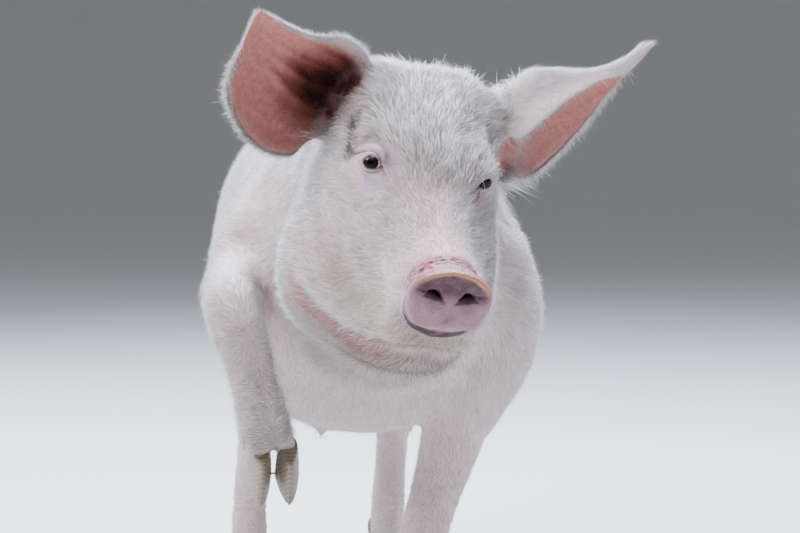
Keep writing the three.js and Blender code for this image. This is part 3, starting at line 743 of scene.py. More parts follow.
head = to_head(skin_at)
part = regions(skin_at)
facing = normals_of(skin_at, skin_faces)
body_only = (1 - part["head"]) * (1 - part["ear"]) * (1 - part["tail"])
body_only = body_only * soft_step(to_body(skin_at)[:, 2], 60, 85)
rise = body_form(skin_at, facing) * body_only
rise += (face_form(head) + 0.5 * noise(head, 22, 7)) * part["head"] * (1 - part["snout"]) * (1 - part["ear"])
for name in leaves:
    along, across, height = part[f"ear_{name}_at"]
    inner_face = (height < 0) * part[f"ear_{name}"]
    veins = ridge(np.sin(across * 7 + 1.3 * np.sin(along * 5)), 0.22) * soft_step(along, 0.2, 0.4) * 0.8
    folds = 3.6 * ridge(across - 0.10 - 0.35 * (along - 0.3), 0.06) * soft_step(along, 0.24, 0.34)
    folds += 2.8 * ridge(across + 0.22 - 0.5 * (along - 0.3), 0.05) * soft_step(along, 0.3, 0.38)
    folds += 2.4 * ridge(across - 0.45 + 0.3 * (along - 0.3), 0.06) * soft_step(along, 0.2, 0.3)
    pit = ridge(along - 0.27, 0.10) * ridge(across + 0.15, 0.42)
    relief = veins * soft_step(along, 0.95, 0.7) + folds * soft_step(along, 0.8, 0.5) - 2.0 * pit
    rise += inner_face * relief
    rise += part[f"ear_{name}"] * (1.2 * ridge(np.abs(across) - 0.96, 0.07) * soft_step(along, 1, 0.9))
skin_at = skin_at + facing * (rise * MM)[:, None]
head = to_head(skin_at)
snout_form(skin_at, head)
for name in LIDS:
    lids(skin_at, head, name)
head = to_head(skin_at)
kept = np.max([soft_step(lid_place(head, side)[0], 26, 20) for side in LIDS], 0)
kept = np.maximum(kept, soft_step(head[:, 1], 300, 312) * (np.abs(head[:, 0]) < 60))
skin_at, skin_faces = finished(
    skin_at, skin_faces, "DECIMATE", share=1 - 0.75 * kept, decimate_type="COLLAPSE",
    ratio=SKIN_TRIANGLES / len(skin_faces),
)


def leaf_ways(leaf, along, across):
    """The ways up an ear's leaf and over it to its outer edge, by differences of its grid at shares along and
    across it."""
    row = np.clip((along * (EAR_STEPS - 1)).astype(int), 1, EAR_STEPS - 2)
    column = np.clip(((across + 1) / 2 * (EAR_ACROSS - 1)).astype(int), 1, EAR_ACROSS - 2)
    up, over = leaf[row + 1, column] - leaf[row - 1, column], leaf[row, column + 1] - leaf[row, column - 1]
    return unit(up), unit(over)


def lie_of(places, normals, part):
    """The way the coat lies, along the skin: backward and a little down on the trunk, down the legs, backward
    and down over the cheeks, up and outward over the forehead, and from root to tip on the ears."""
    h = to_head(places)
    m = mirrored(h)
    sign = np.where(h[:, 0] < 0, -1.0, 1.0)
    body = np.stack([np.zeros(len(h)), np.ones(len(h)), np.full(len(h), -0.35)], 1)
    leg = np.stack([np.zeros(len(h)), np.full(len(h), 0.2), np.full(len(h), -1.0)], 1)
    top = soft_step(m[:, 2], 15, 75) * soft_step(m[:, 0], 95, 60)
    outward = sign * (0.18 + 0.75 * soft_step(m[:, 0], 0, 60) * top)
    face = np.stack([outward, np.full(len(h), -1.0), 0.5 * top - 0.62 * (1 - top)], 1)
    under_eye = ridge(np.hypot(m[:, 0] - 80, m[:, 1] - 150), 45) * (1 - top)
    face[:, 2] += 0.5 * under_eye
    face = (face * [1, -1, 1]) @ HEAD_TURN.T
    lie = body * (1 - part["leg"])[:, None] + leg * part["leg"][:, None]
    lie = lie * (1 - part["head"])[:, None] + face * part["head"][:, None]
    for name, (leaf, _, _) in leaves.items():
        along, across, _ = part[f"ear_{name}_at"]
        share = part[f"ear_{name}"][:, None]
        up, over = leaf_ways(leaf, along, across)
        outward = (0.15 if name == "left" else 0.5) * across
        lie = lie * (1 - share) + (up + over * outward[:, None]) * share
    lie[:, 2] -= 0.4 * part["tail"]
    lie -= (lie * normals).sum(1)[:, None] * normals
    return unit(lie)


# Lines along which the hide is marked, in the head as above.
NOSE_LINE = [(0, 190, 62), (0, 225, 46), (0, 262, 35)]
CHEEK_LINE = [(100, 130, -24), (106, 123, -54), (84, 176, -50)]
STAIN_LINE = [(62, 240, -78), (45, 279, -67), (44, 289, -56), (31, 293, -68), (15, 307, -56), (0, 312, -51)]
SMUDGE_LINE = [(78, 172, -52), (66, 214, -56), (57, 262, -52)]
GREY_LINE = [(-76, 70, 84), (-78, 80, 76), (-79, 89, 69), (-81, 97, 62), (-81, 105, 57)]
FOLD_LINE = [(108, 36, 66), (100, 46, 44), (92, 60, 40)]
CANAL_LINE = [(74, 24, 112), (92, -6, 97), (112, 0, 88), (100, 10, 80)]
LEFT_EYE_NEARER = 8  # how much less far the bare skin reaches round the left eye, in mm


def marks_of(places, part):
    """The markings as soft shares by name, each worked out from lines and parts of the body, with ragged
    edges. A share is mostly a product: on this part, times near this line, times above this level."""
    h = to_head(places)
    m = mirrored(h)
    x, s, z = m.T
    left = h[:, 0] > 0
    b = to_body(places)
    on_head = part["head"] * (1 - part["ear"])
    rough = noise(h, 7, 21)
    names = ("lilac", "rim", "bare_eye", "crease", "ear_in", "ear_rim", "front_rim")
    mark = {name: np.zeros(len(h)) for name in names}

    def raise_to(name, share):
        mark[name] = np.maximum(mark[name], share)

    # Snout: the disc, the rubbed skin above it, and the pink of the bridge and the cheeks.
    start = DISC_S - 22 + 16 * soft_step(z, -5, 14) + 1.5 * rough
    on_disc = soft_step(np.hypot(h[:, 0] / DISC_HALF, (z - DISC_Z) / DISC_TALL), 0.9, 0.82)
    mark["disc"] = np.maximum(soft_step(s, start, start + 3), on_disc * soft_step(s, 296, 302)) * on_head
    mark["sore"] = on_head * (1 - mark["disc"]) * soft_step(s, DISC_S - 55 + 6 * rough, DISC_S - 34)
    mark["sore"] *= soft_step(z, -14 + 5 * rough, 6)
    pink = 0.85 * ridge(along_line(m, NOSE_LINE)[0], 34) + 0.55 * ridge(along_line(m, CHEEK_LINE)[0], 34)
    mark["blush"] = np.clip(pink, 0, 1) * on_head * (0.8 + 0.2 * noise(h, 16, 22))
    # Jaw: the thinly haired strip between lips and chin.
    lips, lips_foot = along_line(m, LIP_LINE)
    chin_foot = along_line(m, CHIN_LINE)[1]
    ragged = 5 * noise(h, 13, 28) + 2.5 * noise(h, 5, 29)
    strip = soft_step(z - lips_foot[:, 2], 6, -7) * soft_step(z - chin_foot[:, 2] + ragged, -10, 8)
    mark["strip"] = strip * soft_step(lips, 46, 30) * soft_step(s, 80, 125) * soft_step(s, 300, 262) * on_head
    # Eyes: the bare lilac skin, the dark margin of the lids, and the lines of their creases, painted dark as
    # shade in the folds.
    for side in LIDS:
        far, outside, b_up = lid_place(h, side)
        close = (far < 42) * on_head
        near = 0 if side == "right" else LEFT_EYE_NEARER
        fold = round_eye(h, LID_LINE, side)
        raise_to("lilac", close * soft_step(outside, 19 - near + 3 * rough, 12 - near))
        raise_to("bare_eye", close * soft_step(outside, 16 - near, 10.5 - near))
        raise_to("bare_eye", close * ridge(fold, 4.5) * (side == "right"))
        raise_to("rim", close * soft_step(outside, 1.9, 0.7))
        # Painted shade in the creases of the lids and the brow, and in the wrinkles of the lower lid.
        crease = 1.4 * ridge(fold, 1.05) + 0.8 * ridge(round_eye(h, BROW_LINE, side), 1.5)
        crease += 0.4 * (ridge(outside - 4.2, 0.8) + 0.6 * ridge(outside - 8.4, 0.8)) * (b_up < 0)
        crease *= 1.0 if side == "right" else 0.5
        raise_to("crease", close * np.clip(crease, 0, 1))
    # Stains of tears, food and mud, and the scribbled grey scratch by the right eye.
    mark["tear"] = on_head * ridge(along_line(m, TEAR_LINE)[0], 3.5) * 0.8
    smudge = ridge(along_line(m, SMUDGE_LINE)[0], 24) * (0.66 + 0.2 * rough)
    stain = ridge(along_line(m, STAIN_LINE)[0], 12) * (0.65 + 0.35 * rough)
    mark["stain"] = on_head * np.maximum(stain, smudge)
    scribble = soft_step(np.sin(z * 1.15 + 2.2 * noise(h, 6, 23)) + 0.5 * noise(h, 3, 24), -0.2, 0.5)
    mark["grey"] = on_head * np.clip(2.6 * ridge(along_line(h, GREY_LINE)[0], 7.0) * scribble, 0, 1)
    # Painted shade: the skin is painted darker under the snout, along the lips and under the jaw, and between
    # the locks of the forehead, where shadow falls.
    shade = soft_step(s, 286, 312) * soft_step(z, -18, -34) * (1 - mark["disc"])
    shade = shade + 0.45 * ridge(lips, 4.5) * soft_step(s, 90, 120)
    shade = shade + 0.6 * soft_step(z, -84, -120) * soft_step(s, 60, 150)
    shade = shade + soft_step(lips_foot[:, 2] - z, 2, 20) * soft_step(s, 165, 235)
    mark["shade"] = on_head * np.clip(shade, 0, 1)
    # The gap mark is painted shade between the locks of the forehead.
    mark["gap"] = on_head * soft_step(s, 200, 130) * soft_step(z, 38, 75) * soft_step(x, 78, 56)
    mark["gap"] *= 1 - mark["lilac"]
    # Ears: pink inside, red and then dark down the canal, where the dark is wax and painted shade of the
    # canal's depth, and white over the rims.
    canal = along_line(m, CANAL_LINE)[0] + 6 * noise(h, 14, 25) + 4 * noise(h, 4, 26)
    for name in leaves:
        along, across, height = part[f"ear_{name}_at"]
        wide = part[f"ear_{name}"]
        canal = canal + 9 * noise(np.stack([across * 11, along * 2.5, 0 * along], 1), 1.0, 33) * wide
        inner = soft_step(height, 0.6, -0.2) * soft_step(along, 0.06, 0.14)
        edge = soft_step(np.abs(across), 0.90, 0.98)
        raise_to("ear_in", inner * wide * (1 - 0.2 * edge))
        raise_to("ear_rim", edge * wide * soft_step(height, -2.6, -1.2))
        raise_to("front_rim", wide * soft_step(across, -0.62, -0.8) * soft_step(along, 0.75, 0.55))
    behind = np.max([soft_step(part[f"ear_{name}_at"][2], 0.5, 3.0) for name in leaves], 0)
    raise_to("ear_in", soft_step(canal, 26, 8) * part["head"] * (1 - behind))
    raise_to("ear_in", soft_step(along_line(h, FOLD_LINE)[0] + 3 * rough, 24, 12) * part["head"])
    along, across, height = part["ear_left_at"]
    # Painted shade along the folded front edge of the left ear's flap, on its skin and hair.
    raise_to("shade", 0.45 * part["ear_left"] * soft_step(across, -0.78, -1.0) * soft_step(along, 0.85, 0.5))
    # Painted light: the outer face of the left ear's flap is painted pale, standing in for the bright light
    # it catches and lets through.
    mark["fold"] = part["ear_left"] * soft_step(height, -0.5, 0.5) * soft_step(across, 0.1, -0.7)
    mark["fold"] *= soft_step(along, 0.8, 0.4)
    mark["ear_in"] *= 1 - 0.6 * mark["front_rim"]
    mark["red"] = soft_step(canal, 62, 22) * mark["ear_in"] * (1 - 0.6 * left)
    # Painted shade and dark wax down the canal, on skin and hair.
    mark["dark"] = soft_step(canal, 31, 9) * mark["ear_in"] * (1 - 0.8 * left)
    mark["dark"] *= 0.85 + 0.3 * noise(h, 5, 34)
    # Body: grime on the feet, darker skin under the belly, painted shade under the jaw, and pink skin that
    # shows at the elbows, the belly and the buttocks.
    low = soft_step(b[:, 2], 210, 60) * (0.6 + 0.4 * noise(b, 24, 27))
    raised = soft_step(b[:, 1], -150, -190) * part["leg"]
    low = low * (1 - raised) + 0.8 * part["foot"] * raised
    under = soft_step(b[:, 2], 345, 300) * (1 - part["leg"]) * (1 - part["head"])
    # On the head this mark is painted shade under the jaw; on the feet it is grime.
    mark["grime_and_shade"] = np.clip(low + 0.25 * under + 0.3 * on_head * soft_step(z, -112, -150), 0, 1)
    flank = ridge(b[:, 1] - 100, 60) * soft_step(b[:, 2], 470, 380) + under
    mark["flush"] = np.clip(flank + soft_step(b[:, 1], 860, 905) * soft_step(np.abs(b[:, 0]), 70, 20), 0, 1)
    return mark


facing = normals_of(skin_at, skin_faces)
part = regions(skin_at)
lie = lie_of(skin_at, facing, part)
mark = marks_of(skin_at, part)

# Colour of each mark on bare skin and the most it covers, in the order in which they lie over each other.
# Of these, gap, shade and crease are painted shade, dark is wax and painted shade, the jaw's part of the
# grime is painted shade, and fold is painted light.
MARKS = {
    "flush": ("#d8aaa5", 0.7), "gap": ("#94756d", 0.8), "blush": ("#c8928f", 0.88),
    "strip": ("#8f5648", 0.92), "lilac": ("#bfa6b6", 0.95), "sore": ("#b8727f", 1.0),
    "grime_and_shade": ("#8d7b6c", 0.75), "shade": ("#69402f", 0.9), "stain": ("#8a7550", 0.8),
    "tear": ("#a3855f", 0.75), "crease": ("#7c584c", 1.0), "rim": ("#8a6660", 0.9),
    "grey": ("#3c3c3e", 0.95), "ear_in": ("#d89086", 0.95), "red": ("#8a3c2e", 0.85),
    "dark": ("#170806", 0.97), "front_rim": ("#c9b2b3", 0.7), "fold": ("#f0dadc", 0.85),
    "disc": ("#a27a84", 1.0),
}


def give(piece, values):
    """Stores arrays of one number, or of three, for each vertex as named attributes of a piece."""
    for name, value in values.items():
        wide = value.ndim == 2
        attribute = piece.data.attributes.new(name, "FLOAT_VECTOR" if wide else "FLOAT", "POINT")
        attribute.data.foreach_set("vector" if wide else "value", value.astype(np.float32).ravel())


# Live pig hide, a thin moist skin over blood: it gives the eye a soft pink depth, blotches, pores and fine
# lines, and pale streaks where the roots of the bristles are combed through it. Painted shade darkens its
# creases, the skin under the jaw and snout, the gaps between the locks, the nostrils and the ear canals, and
# painted light makes the left ear's flap paler.
hide, tree = new_material("live_pig_hide")
where = add(tree, "TexCoord").outputs["Object"]
comb = add(tree, "Attribute", attribute_name="comb").outputs["Vector"]
share = {
    name: add(tree, "Attribute", attribute_name=name).outputs["Fac"]
    for name in (*MARKS, "hole", "disc_dirt_and_shade", "disc_lip", "cover", "wet")
}
# Each pattern's bumps to the metre, its octaves and its roughness: blotches of 36 mm, blood under the thin
# skin of the ear in patches of 7 mm, washes of 13 mm over the disc, specks of 1.6 mm, flakes and scabs of 6
# mm on the rubbed skin, and the disc's leathery grain of 2.3 mm, which breaks its wet shine into points.
PATTERNS = {
    "blotch": (28, 4, 0.5), "blood": (150, 7, 0.8), "wash": (75, 5, 0.6), "speck": (620, 3, 0.5),
    "flake": (170, 5, 0.7), "grain": (430, 3, 0.5),
}
pattern = {}
for name, (scale, octaves, rough) in PATTERNS.items():
    settings = {"Vector": where, "Scale": scale, "Detail": octaves, "Roughness": rough}
    pattern[name] = add(tree, "TexNoise", settings).outputs[0]
pattern["streak"] = add(tree, "TexNoise", {"Vector": comb, "Scale": 1.0, "Detail": 3}).outputs[0]
pattern["pore"] = add(tree, "TexVoronoi", {"Vector": where, "Scale": 900}).outputs[0]
level = {}
for name, start, end, least, most in (
    ("blood", 0.4, 0.68, 0.0, 0.5), ("speck", 0.35, 0.7, 0.85, 1.0), ("streak", 0.38, 0.62, 0.0, 0.85),
):
    level[name] = add(tree, "MapRange", {
        "Value": pattern[name], "From Min": start, "From Max": end, "To Min": least, "To Max": most,
    }).outputs[0]
tone = {}
for name, ends in (
    ("wash", ((0.30, "#8a626b"), (0.70, "#b08d9a"))), ("flake", ((0.42, "#5a3026"), (0.56, "#ac6472"))),
):
    ramp = add(tree, "ValToRGB", {"Fac": pattern[name]})
    for element, (place, paint) in zip(ramp.color_ramp.elements, ends):
        element.position, element.color = place, linear(paint)
    tone[name] = ramp.outputs[0]
# The disc's dirt layer is also painted shade, its hole layer is painted shade in the nostrils, and its lip
# layer is partly painted highlight.
layers = [(share[name], most, paint) for name, (paint, most) in MARKS.items()] + [
    (share["ear_in"], level["blood"], "#7d3f35"), (share["disc"], 0.6, tone["wash"]),
    (share["disc_dirt_and_shade"], level["speck"], "#2a1912"), (share["disc_lip"], 0.85, "#c98d68"),
    (share["hole"], 1.0, "#120908"), (share["sore"], 0.92, tone["flake"]),
    (share["cover"], level["streak"], "#e6e2e2"),
]
colour = add(tree, "Mix", {0: pattern["blotch"], 6: "#d2b0ad", 7: "#c4928c"}, data_type="RGBA").outputs[2]
for amount, most, paint in layers:
    amount = add(tree, "Math", {0: amount, 1: most}, operation="MULTIPLY").outputs[0]
    colour = add(tree, "Mix", {0: amount, 6: colour, 7: paint}, data_type="RGBA").outputs[2]
combed_in = add(tree, "Math", {0: share["cover"], 1: 0.9}, operation="MULTIPLY").outputs[0]
relief = None
for name, high, strength in (("pore", 0.3, 0.35), ("grain", 1.6, share["disc"]), ("streak", 1.2, combed_in)):
    settings = {"Height": pattern[name], "Distance": high * MM, "Strength": strength}
    if relief is not None:
        settings["Normal"] = relief
    relief = add(tree, "Bump", settings).outputs[0]
gloss = add(tree, "Math", {0: share["wet"], 1: -0.36, 2: 0.58}, operation="MULTIPLY_ADD").outputs[0]
surface = add(tree, "BsdfPrincipled", {
    "Base Color": colour, "Roughness": gloss, "Specular IOR Level": 0.22, "IOR": 1.42, "Normal": relief,
    "Subsurface Weight": 0.22, "Subsurface Radius": (0.012, 0.004, 0.002), "Subsurface Scale": 0.35,
})
add(tree, "OutputMaterial", {"Surface": surface.outputs[0]})

# Shares of the disc's looks: the pit of the nostrils, which is painted shade; dirt round them, above them and
# at the lower edge, which is also painted shade of the hollows, of the rim over the upper half and of the
# underside; and the pale upper lip, which is partly the rim's own colour and partly painted highlight on its
# lit top. Then how much hair covers the skin, where it is wet, and the lie of the coat as coordinates.
h = to_head(skin_at)
x, s, z = h.T
q = np.hypot(x / DISC_HALF, (z - DISC_Z) / DISC_TALL)
# Painted shade and dirt on the underside and lower edge of the disc.
lower_edge = 0.7 * soft_step(q, 1.08, 1.16) * soft_step(z, -14, -30)
lower_edge += 0.25 * soft_step(s, DISC_S - 11, DISC_S - 17) * soft_step(z, 2, -10)
around_hole = soft_step(np.hypot((np.abs(x) - NOSTRIL_X - 5) / 15, (z - NOSTRIL_Z - 1) / 6.5), 1.15, 0.4)
dirt_and_shade = lower_edge * (1.1 + 0.4 * noise(h, 4, 31)) + 0.22 * around_hole
# The upper half of the disc is darker: dirt and painted shade under the rim.
dirt_and_shade += (0.74 + 0.2 * noise(h, 8, 32)) * soft_step(z, -5, 17) * soft_step(q, 1.0, 0.8)
# hole is painted shade in the pits of the nostrils; disc_lip is the rim's pale colour, partly painted
# highlight on its lit top.
disc_look = {
    "hole": mark["disc"] * soft_step(nostril_place(x, z)[0], 1.2, 0.75) * soft_step(q, 1, 0.9),
    "disc_dirt_and_shade": mark["disc"] * np.clip(dirt_and_shade, 0, 1),
    "disc_lip": mark["disc"] * soft_step(q, 0.80, 0.90) * soft_step(z, 6, 22) * soft_step(x, -48, -12),
}
bare = np.max([mark[name] for name in ("disc", "ear_in", "rim", "bare_eye")], 0)
cover = (1 - bare) * (0.75 - 0.2 * part["head"]) * (1 - 0.75 * mark["strip"]) * (1 - 0.95 * mark["sore"])
cover *= (1 - 0.4 * mark["blush"]) * (1 - mark["grey"])
disc_face = mark["disc"] * soft_step(s, DISC_S - 10, DISC_S - 3) * soft_step(q, 1.06, 0.98)
wet = np.clip(mark["rim"] + disc_face * (0.55 + 0.4 * soft_step(z, 5, -8)), 0, 1)
COMB_SQUEEZE = 0.93  # how far the streaks' coordinates are drawn together along the lie, which draws them out
comb = np.zeros_like(skin_at)
for way, amount in (
    (unit(np.array([0, 1, -0.35])), (1 - part["head"]) * (1 - part["leg"])),
    (np.array([0, 0.2, -1.0]) / 1.02, part["leg"]),
    (unit(np.array([0, 1, -0.2]) @ HEAD_TURN.T), part["head"]),
):
    comb += (skin_at - COMB_SQUEEZE * (skin_at @ way)[:, None] * way) * amount[:, None]
skin = new_piece("skin", skin_at, skin_faces, hide)
give(skin, {name: mark[name] for name in MARKS})
give(skin, {**disc_look, "cover": cover, "wet": wet, "comb": comb / MM})
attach(skin, "root")
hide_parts(*FLESH)

# ---------------------------------------------------------------- eyes
# Each eye is a moist ball with a dark brown iris and a wide oval pupil, behind a domed clear cornea. It is
# held by the lids, and looks out of their opening.

IRIS_REACH, CORNEA_RISE = 42, 0.9  # half angle of the iris in degrees, rise of the cornea in mm
PUPIL_HALF, PUPIL_TALL = 19, 12.5  # half angles of the oval pupil, in degrees
BALL_ROWS, BALL_SPOKES = 73, 96
POLE = 0.004  # angle of the ring next to each pole, in radians

# Living eyeball, gelatine under a film of tears: it gives the eye a deep brown iris that darkens outward, a
# black pupil, and small sharp highlights.
eyeball, tree = new_material("wet_eyeball_brown_iris")
seen = {
    name: add(tree, "Attribute", attribute_name=name).outputs["Vector" if name == "ray" else "Fac"]
    for name in ("from_axis", "oval", "ray")
}
rays = add(tree, "TexNoise", {"Vector": seen["ray"], "Scale": 1.0, "Detail": 4}).outputs[0]
iris = add(tree, "Mix", {0: rays, 6: "#0d0a0a", 7: "#2a1f1a"}, data_type="RGBA").outputs[2]
white = add(tree, "Mix", {0: rays, 6: "#b9a39b", 7: "#d9cdc6"}, data_type="RGBA").outputs[2]
colour = "#050505"
for name, start, end, most, paint in (
    ("oval", 0.9, 1.1, 1.0, iris), ("from_axis", IRIS_REACH - 9, IRIS_REACH, 0.8, "#120c0a"),
    ("from_axis", IRIS_REACH - 1.5, IRIS_REACH + 1.5, 1.0, white),
):
    amount = add(tree, "MapRange", {"Value": seen[name], "From Min": start, "From Max": end, "To Max": most})
    colour = add(tree, "Mix", {0: amount.outputs[0], 6: colour, 7: paint}, data_type="RGBA").outputs[2]
surface = add(tree, "BsdfPrincipled", {
    "Base Color": colour, "Roughness": 0.4, "IOR": 1.15, "Coat Weight": 0.7, "Coat Roughness": 0.03,
    "Coat IOR": 1.3, "Specular IOR Level": 0.1,
})
add(tree, "OutputMaterial", {"Surface": surface.outputs[0]})

# A ball is a grid of angles from its axis and round it, whose radius swells by the cornea towards the axis.
polar = np.radians(np.linspace(0, 180, BALL_ROWS))
polar[0], polar[-1] = POLE, np.pi - POLE
polar, round_it = np.meshgrid(polar, np.arange(BALL_SPOKES) * 2 * np.pi / BALL_SPOKES, indexing="ij")
radius = BALL - 0.2 + CORNEA_RISE * soft_step(np.degrees(polar), IRIS_REACH + 3, IRIS_REACH - 16)
flat = np.sin(polar) * radius
for side in LIDS:
    centre, inner, up, out = eye_frame(side)
    grid = (flat * np.cos(round_it))[..., None] * inner + (flat * np.sin(round_it))[..., None] * up
    places, triangles = capped(from_head(centre + grid + (np.cos(polar) * radius)[..., None] * out))
    corners = places[triangles]
    outward = np.cross(corners[:, 1] - corners[:, 0], corners[:, 2] - corners[:, 0])
    if (outward * (corners[:, 0] - from_head(centre))).sum() < 0:
        triangles = triangles[:, ::-1]
    ball = new_piece(f"eyeball_{side}", places, triangles, eyeball)
    away = unit(to_head(places) - centre)
    a, b, from_axis = (np.degrees(turn) for turn in (
        np.arcsin(np.clip(away @ inner, -1, 1)), np.arcsin(np.clip(away @ up, -1, 1)),
        np.arccos(np.clip(away @ out, -1, 1)),
    ))
    turned = np.arctan2(b, a)
    give(ball, {
        "from_axis": from_axis,
        "oval": np.where(away @ out > 0, np.hypot(a / PUPIL_HALF, b / PUPIL_TALL), 9),
        "ray": np.stack([np.cos(turned) * 9, np.sin(turned) * 9, from_axis / 14], 1),
    })
    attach(ball, "root")
    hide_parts(f"eye_{side}")

# ---------------------------------------------------------------- claws and dewclaws
# Each toe ends in a claw of horn, amber grey and worn, with growth rings round it. The dewclaws sit behind
# and above. Each is melted from its solid, smoothed, and ringed from the coronet down.

CLAW_GRAIN = 1.8 * MM
RING_STEP, RING_DEPTH = 5.0, 0.22  # distance between growth rings and half their depth, in mm

# Hoof horn, dead layered keratin worn by the ground: it gives the eye amber and grey clouds of 33 mm, a grain
# of 6 mm, dark growth rings, earth rubbed into the lower edge, and a dull shine.
claw_horn, tree = new_material("hoof_horn_worn")
where = add(tree, "TexCoord").outputs["Object"]
grain = add(tree, "TexNoise", {"Vector": where, "Scale": 160, "Detail": 5}).outputs[0]
cloud = add(tree, "TexNoise", {"Vector": where, "Scale": 30, "Detail": 3}).outputs[0]
ring = add(tree, "Attribute", attribute_name="ring").outputs["Fac"]
earth = add(tree, "Attribute", attribute_name="earth").outputs["Fac"]
colour = "#a28c74"
for amount, most, paint in (
    (cloud, 1.0, "#64544a"), (grain, 0.5, "#b7a48e"), (ring, 0.5, "#3a2f28"), (earth, 1.0, "#6d5f50"),
):
    amount = add(tree, "Math", {0: amount, 1: most}, operation="MULTIPLY").outputs[0]
    colour = add(tree, "Mix", {0: amount, 6: colour, 7: paint}, data_type="RGBA").outputs[2]
bump = add(tree, "Bump", {"Height": grain, "Distance": 0.6 * MM, "Strength": 0.6}).outputs[0]
surface = add(tree, "BsdfPrincipled", {"Base Color": colour, "Roughness": 0.48, "IOR": 1.55, "Normal": bump})
add(tree, "OutputMaterial", {"Surface": surface.outputs[0]})

for name in HORN:
    solid, corners = triangles_of(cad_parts[name].data)
    places, triangles = finished(solid, corners, "REMESH", mode="VOXEL", voxel_size=CLAW_GRAIN)
    places, triangles = finished(places, triangles, "SMOOTH", factor=0.6, iterations=4)
    low, high = solid.min(0), solid.max(0)
    axis = unit((high - low) * [0, -0.5, -1.0])
    wave = np.sin((places - low) @ -axis / MM * 2 * np.pi / RING_STEP + 1.2 * noise(places / MM, 12, 41))
    places = places + normals_of(places, triangles) * ((RING_DEPTH * wave - 0.1) * MM)[:, None]
    places = np.clip(places, low, high)
    claw = new_piece(f"horn_{name}", places, triangles, claw_horn)
    rise = (places[:, 2] - low[2]) / (high[2] - low[2])
    give(claw, {"ring": soft_step(wave, 0, -1), "earth": 0.5 * soft_step(rise, 0.35, 0) + 0.1})
    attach(claw, "root")
    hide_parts(name)

# ---------------------------------------------------------------- coat
# White bristles grow out of the whole hide: short and fine on the face, longer and coarser on the trunk. Each
# is a thin solid spike of hair rooted in the skin, and leans the way the coat lies.

# Pig bristle, hollow white keratin with a scaly surface: it gives the eye bright fine strokes with a silky
# shine, yellower and darker from lock to lock, and stained like the skin at its root, which carries the
# skin's painted shade under the jaw, along the left ear's fold and down the ear canals onto the hairs there.
HAIR_MARKS = {
    "flesh": ("#d3a49d", 0.55), "grime_and_shade": ("#94836f", 0.6), "shade": ("#70503f", 0.9),
    "stain": ("#a08a58", 0.7), "tear": ("#b48f5c", 0.6), "grey": ("#4b4b4b", 0.92),
    "ear_in": ("#a8705f", 0.85), "red": ("#6a2f24", 0.8), "dark": ("#1c0d0a", 0.95),
}
bristle, tree = new_material("white_pig_bristle")
tint = add(tree, "Attribute", attribute_name="tint").outputs["Fac"]
colour = add(tree, "Mix", {0: tint, 6: "#b0a39b", 7: "#fdfcfb"}, data_type="RGBA").outputs[2]
for name, (paint, most) in HAIR_MARKS.items():
    amount = add(tree, "Attribute", attribute_name=name).outputs["Fac"]
    amount = add(tree, "Math", {0: amount, 1: most}, operation="MULTIPLY").outputs[0]
    colour = add(tree, "Mix", {0: amount, 6: colour, 7: paint}, data_type="RGBA").outputs[2]
surface = add(tree, "BsdfPrincipled", {"Base Color": colour, "Roughness": 0.42, "IOR": 1.5})
add(tree, "OutputMaterial", {"Surface": surface.outputs[0]})

corner_at = skin_at[skin_faces]
across, along = corner_at[:, 1] - corner_at[:, 0], corner_at[:, 2] - corner_at[:, 0]
face_area = np.linalg.norm(np.cross(across, along), axis=1) / 2
rosy = mark["blush"] + mark["sore"] + mark["strip"] + 0.5 * mark["flush"] + 0.16 * (1 - part["ear"])
mark["flesh"] = np.clip(rosy, 0, 1)


def roots(count, weight, seed):
    """Places count hairs over the skin, by the weight at each vertex. Evenly spaced steps through the summed
    weight of the triangles, each moved at random inside its step, keep them from bunching. Gives the function
    that reads the skin's values at the roots."""
    rng = np.random.default_rng(seed)
    total = np.cumsum(face_area * weight[skin_faces].mean(1))
    pick = np.searchsorted(total, (np.arange(count) + rng.random(count)) / count * total[-1])
    pick = np.minimum(pick, len(total) - 1)
    u, v = np.sqrt(rng.random(count)), rng.random(count)
    corner_share = np.stack([1 - u, u * (1 - v), u * v], 1)

    def at_root(values):
        """The skin's values at the roots: the mean of each triangle's corners by the root's place in it."""
        corners = values[skin_faces[pick]]
        return (corners * (corner_share if values.ndim == 1 else corner_share[:, :, None])).sum(1)

    return at_root


def turned_about(vectors, axes, angles):
    """Vectors turned about unit axes at right angles to them."""
    c, s = np.cos(angles)[:, None], np.sin(angles)[:, None]
    return vectors * c + np.cross(axes, vectors) * s


def hairs(place, normal, way, length, width, lift, droop, rings=1):
    """Solid three-cornered hairs. Each starts below the skin and runs way, raised by lift, and bends down by
    droop over its length, all angles in degrees. Rings of three corners narrow towards one point at the
    tip."""
    count = len(place)
    across = unit(np.cross(way, normal))
    path, at = [], place - normal * (width * 0.8)[:, None]
    for k in range(rings + 1):
        angle = np.radians(lift - droop * k / rings)
        heading = way * np.cos(angle)[:, None] + normal * np.sin(angle)[:, None]
        path.append((at, np.cross(across, heading)))
        at = at + heading * (length / rings)[:, None]
    vertices = []
    for k, (at, over) in enumerate(path[:-1]):
        half = (width / 2 * (1 - 0.45 * k / rings))[:, None]
        vertices += [at + across * half, at - across * half, at + over * half * 1.3]
    vertices.append(path[-1][0])
    each = 3 * rings + 1
    shape = [(0, 1, 2)]
    for low in range(0, 3 * rings - 3, 3):
        for a, b in ((0, 1), (1, 2), (2, 0)):
            shape += [(low + b, low + a, low + 3 + a), (low + b, low + 3 + a, low + 3 + b)]
    last = 3 * rings - 3
    shape += [(last + b, last + a, 3 * rings) for a, b in ((0, 1), (1, 2), (2, 0))]
    places = np.stack(vertices, 1).reshape(-1, 3)
    triangles = (np.arange(count)[:, None, None] * each + np.array(shape)[None]).reshape(-1, 3)
    return places, triangles, each


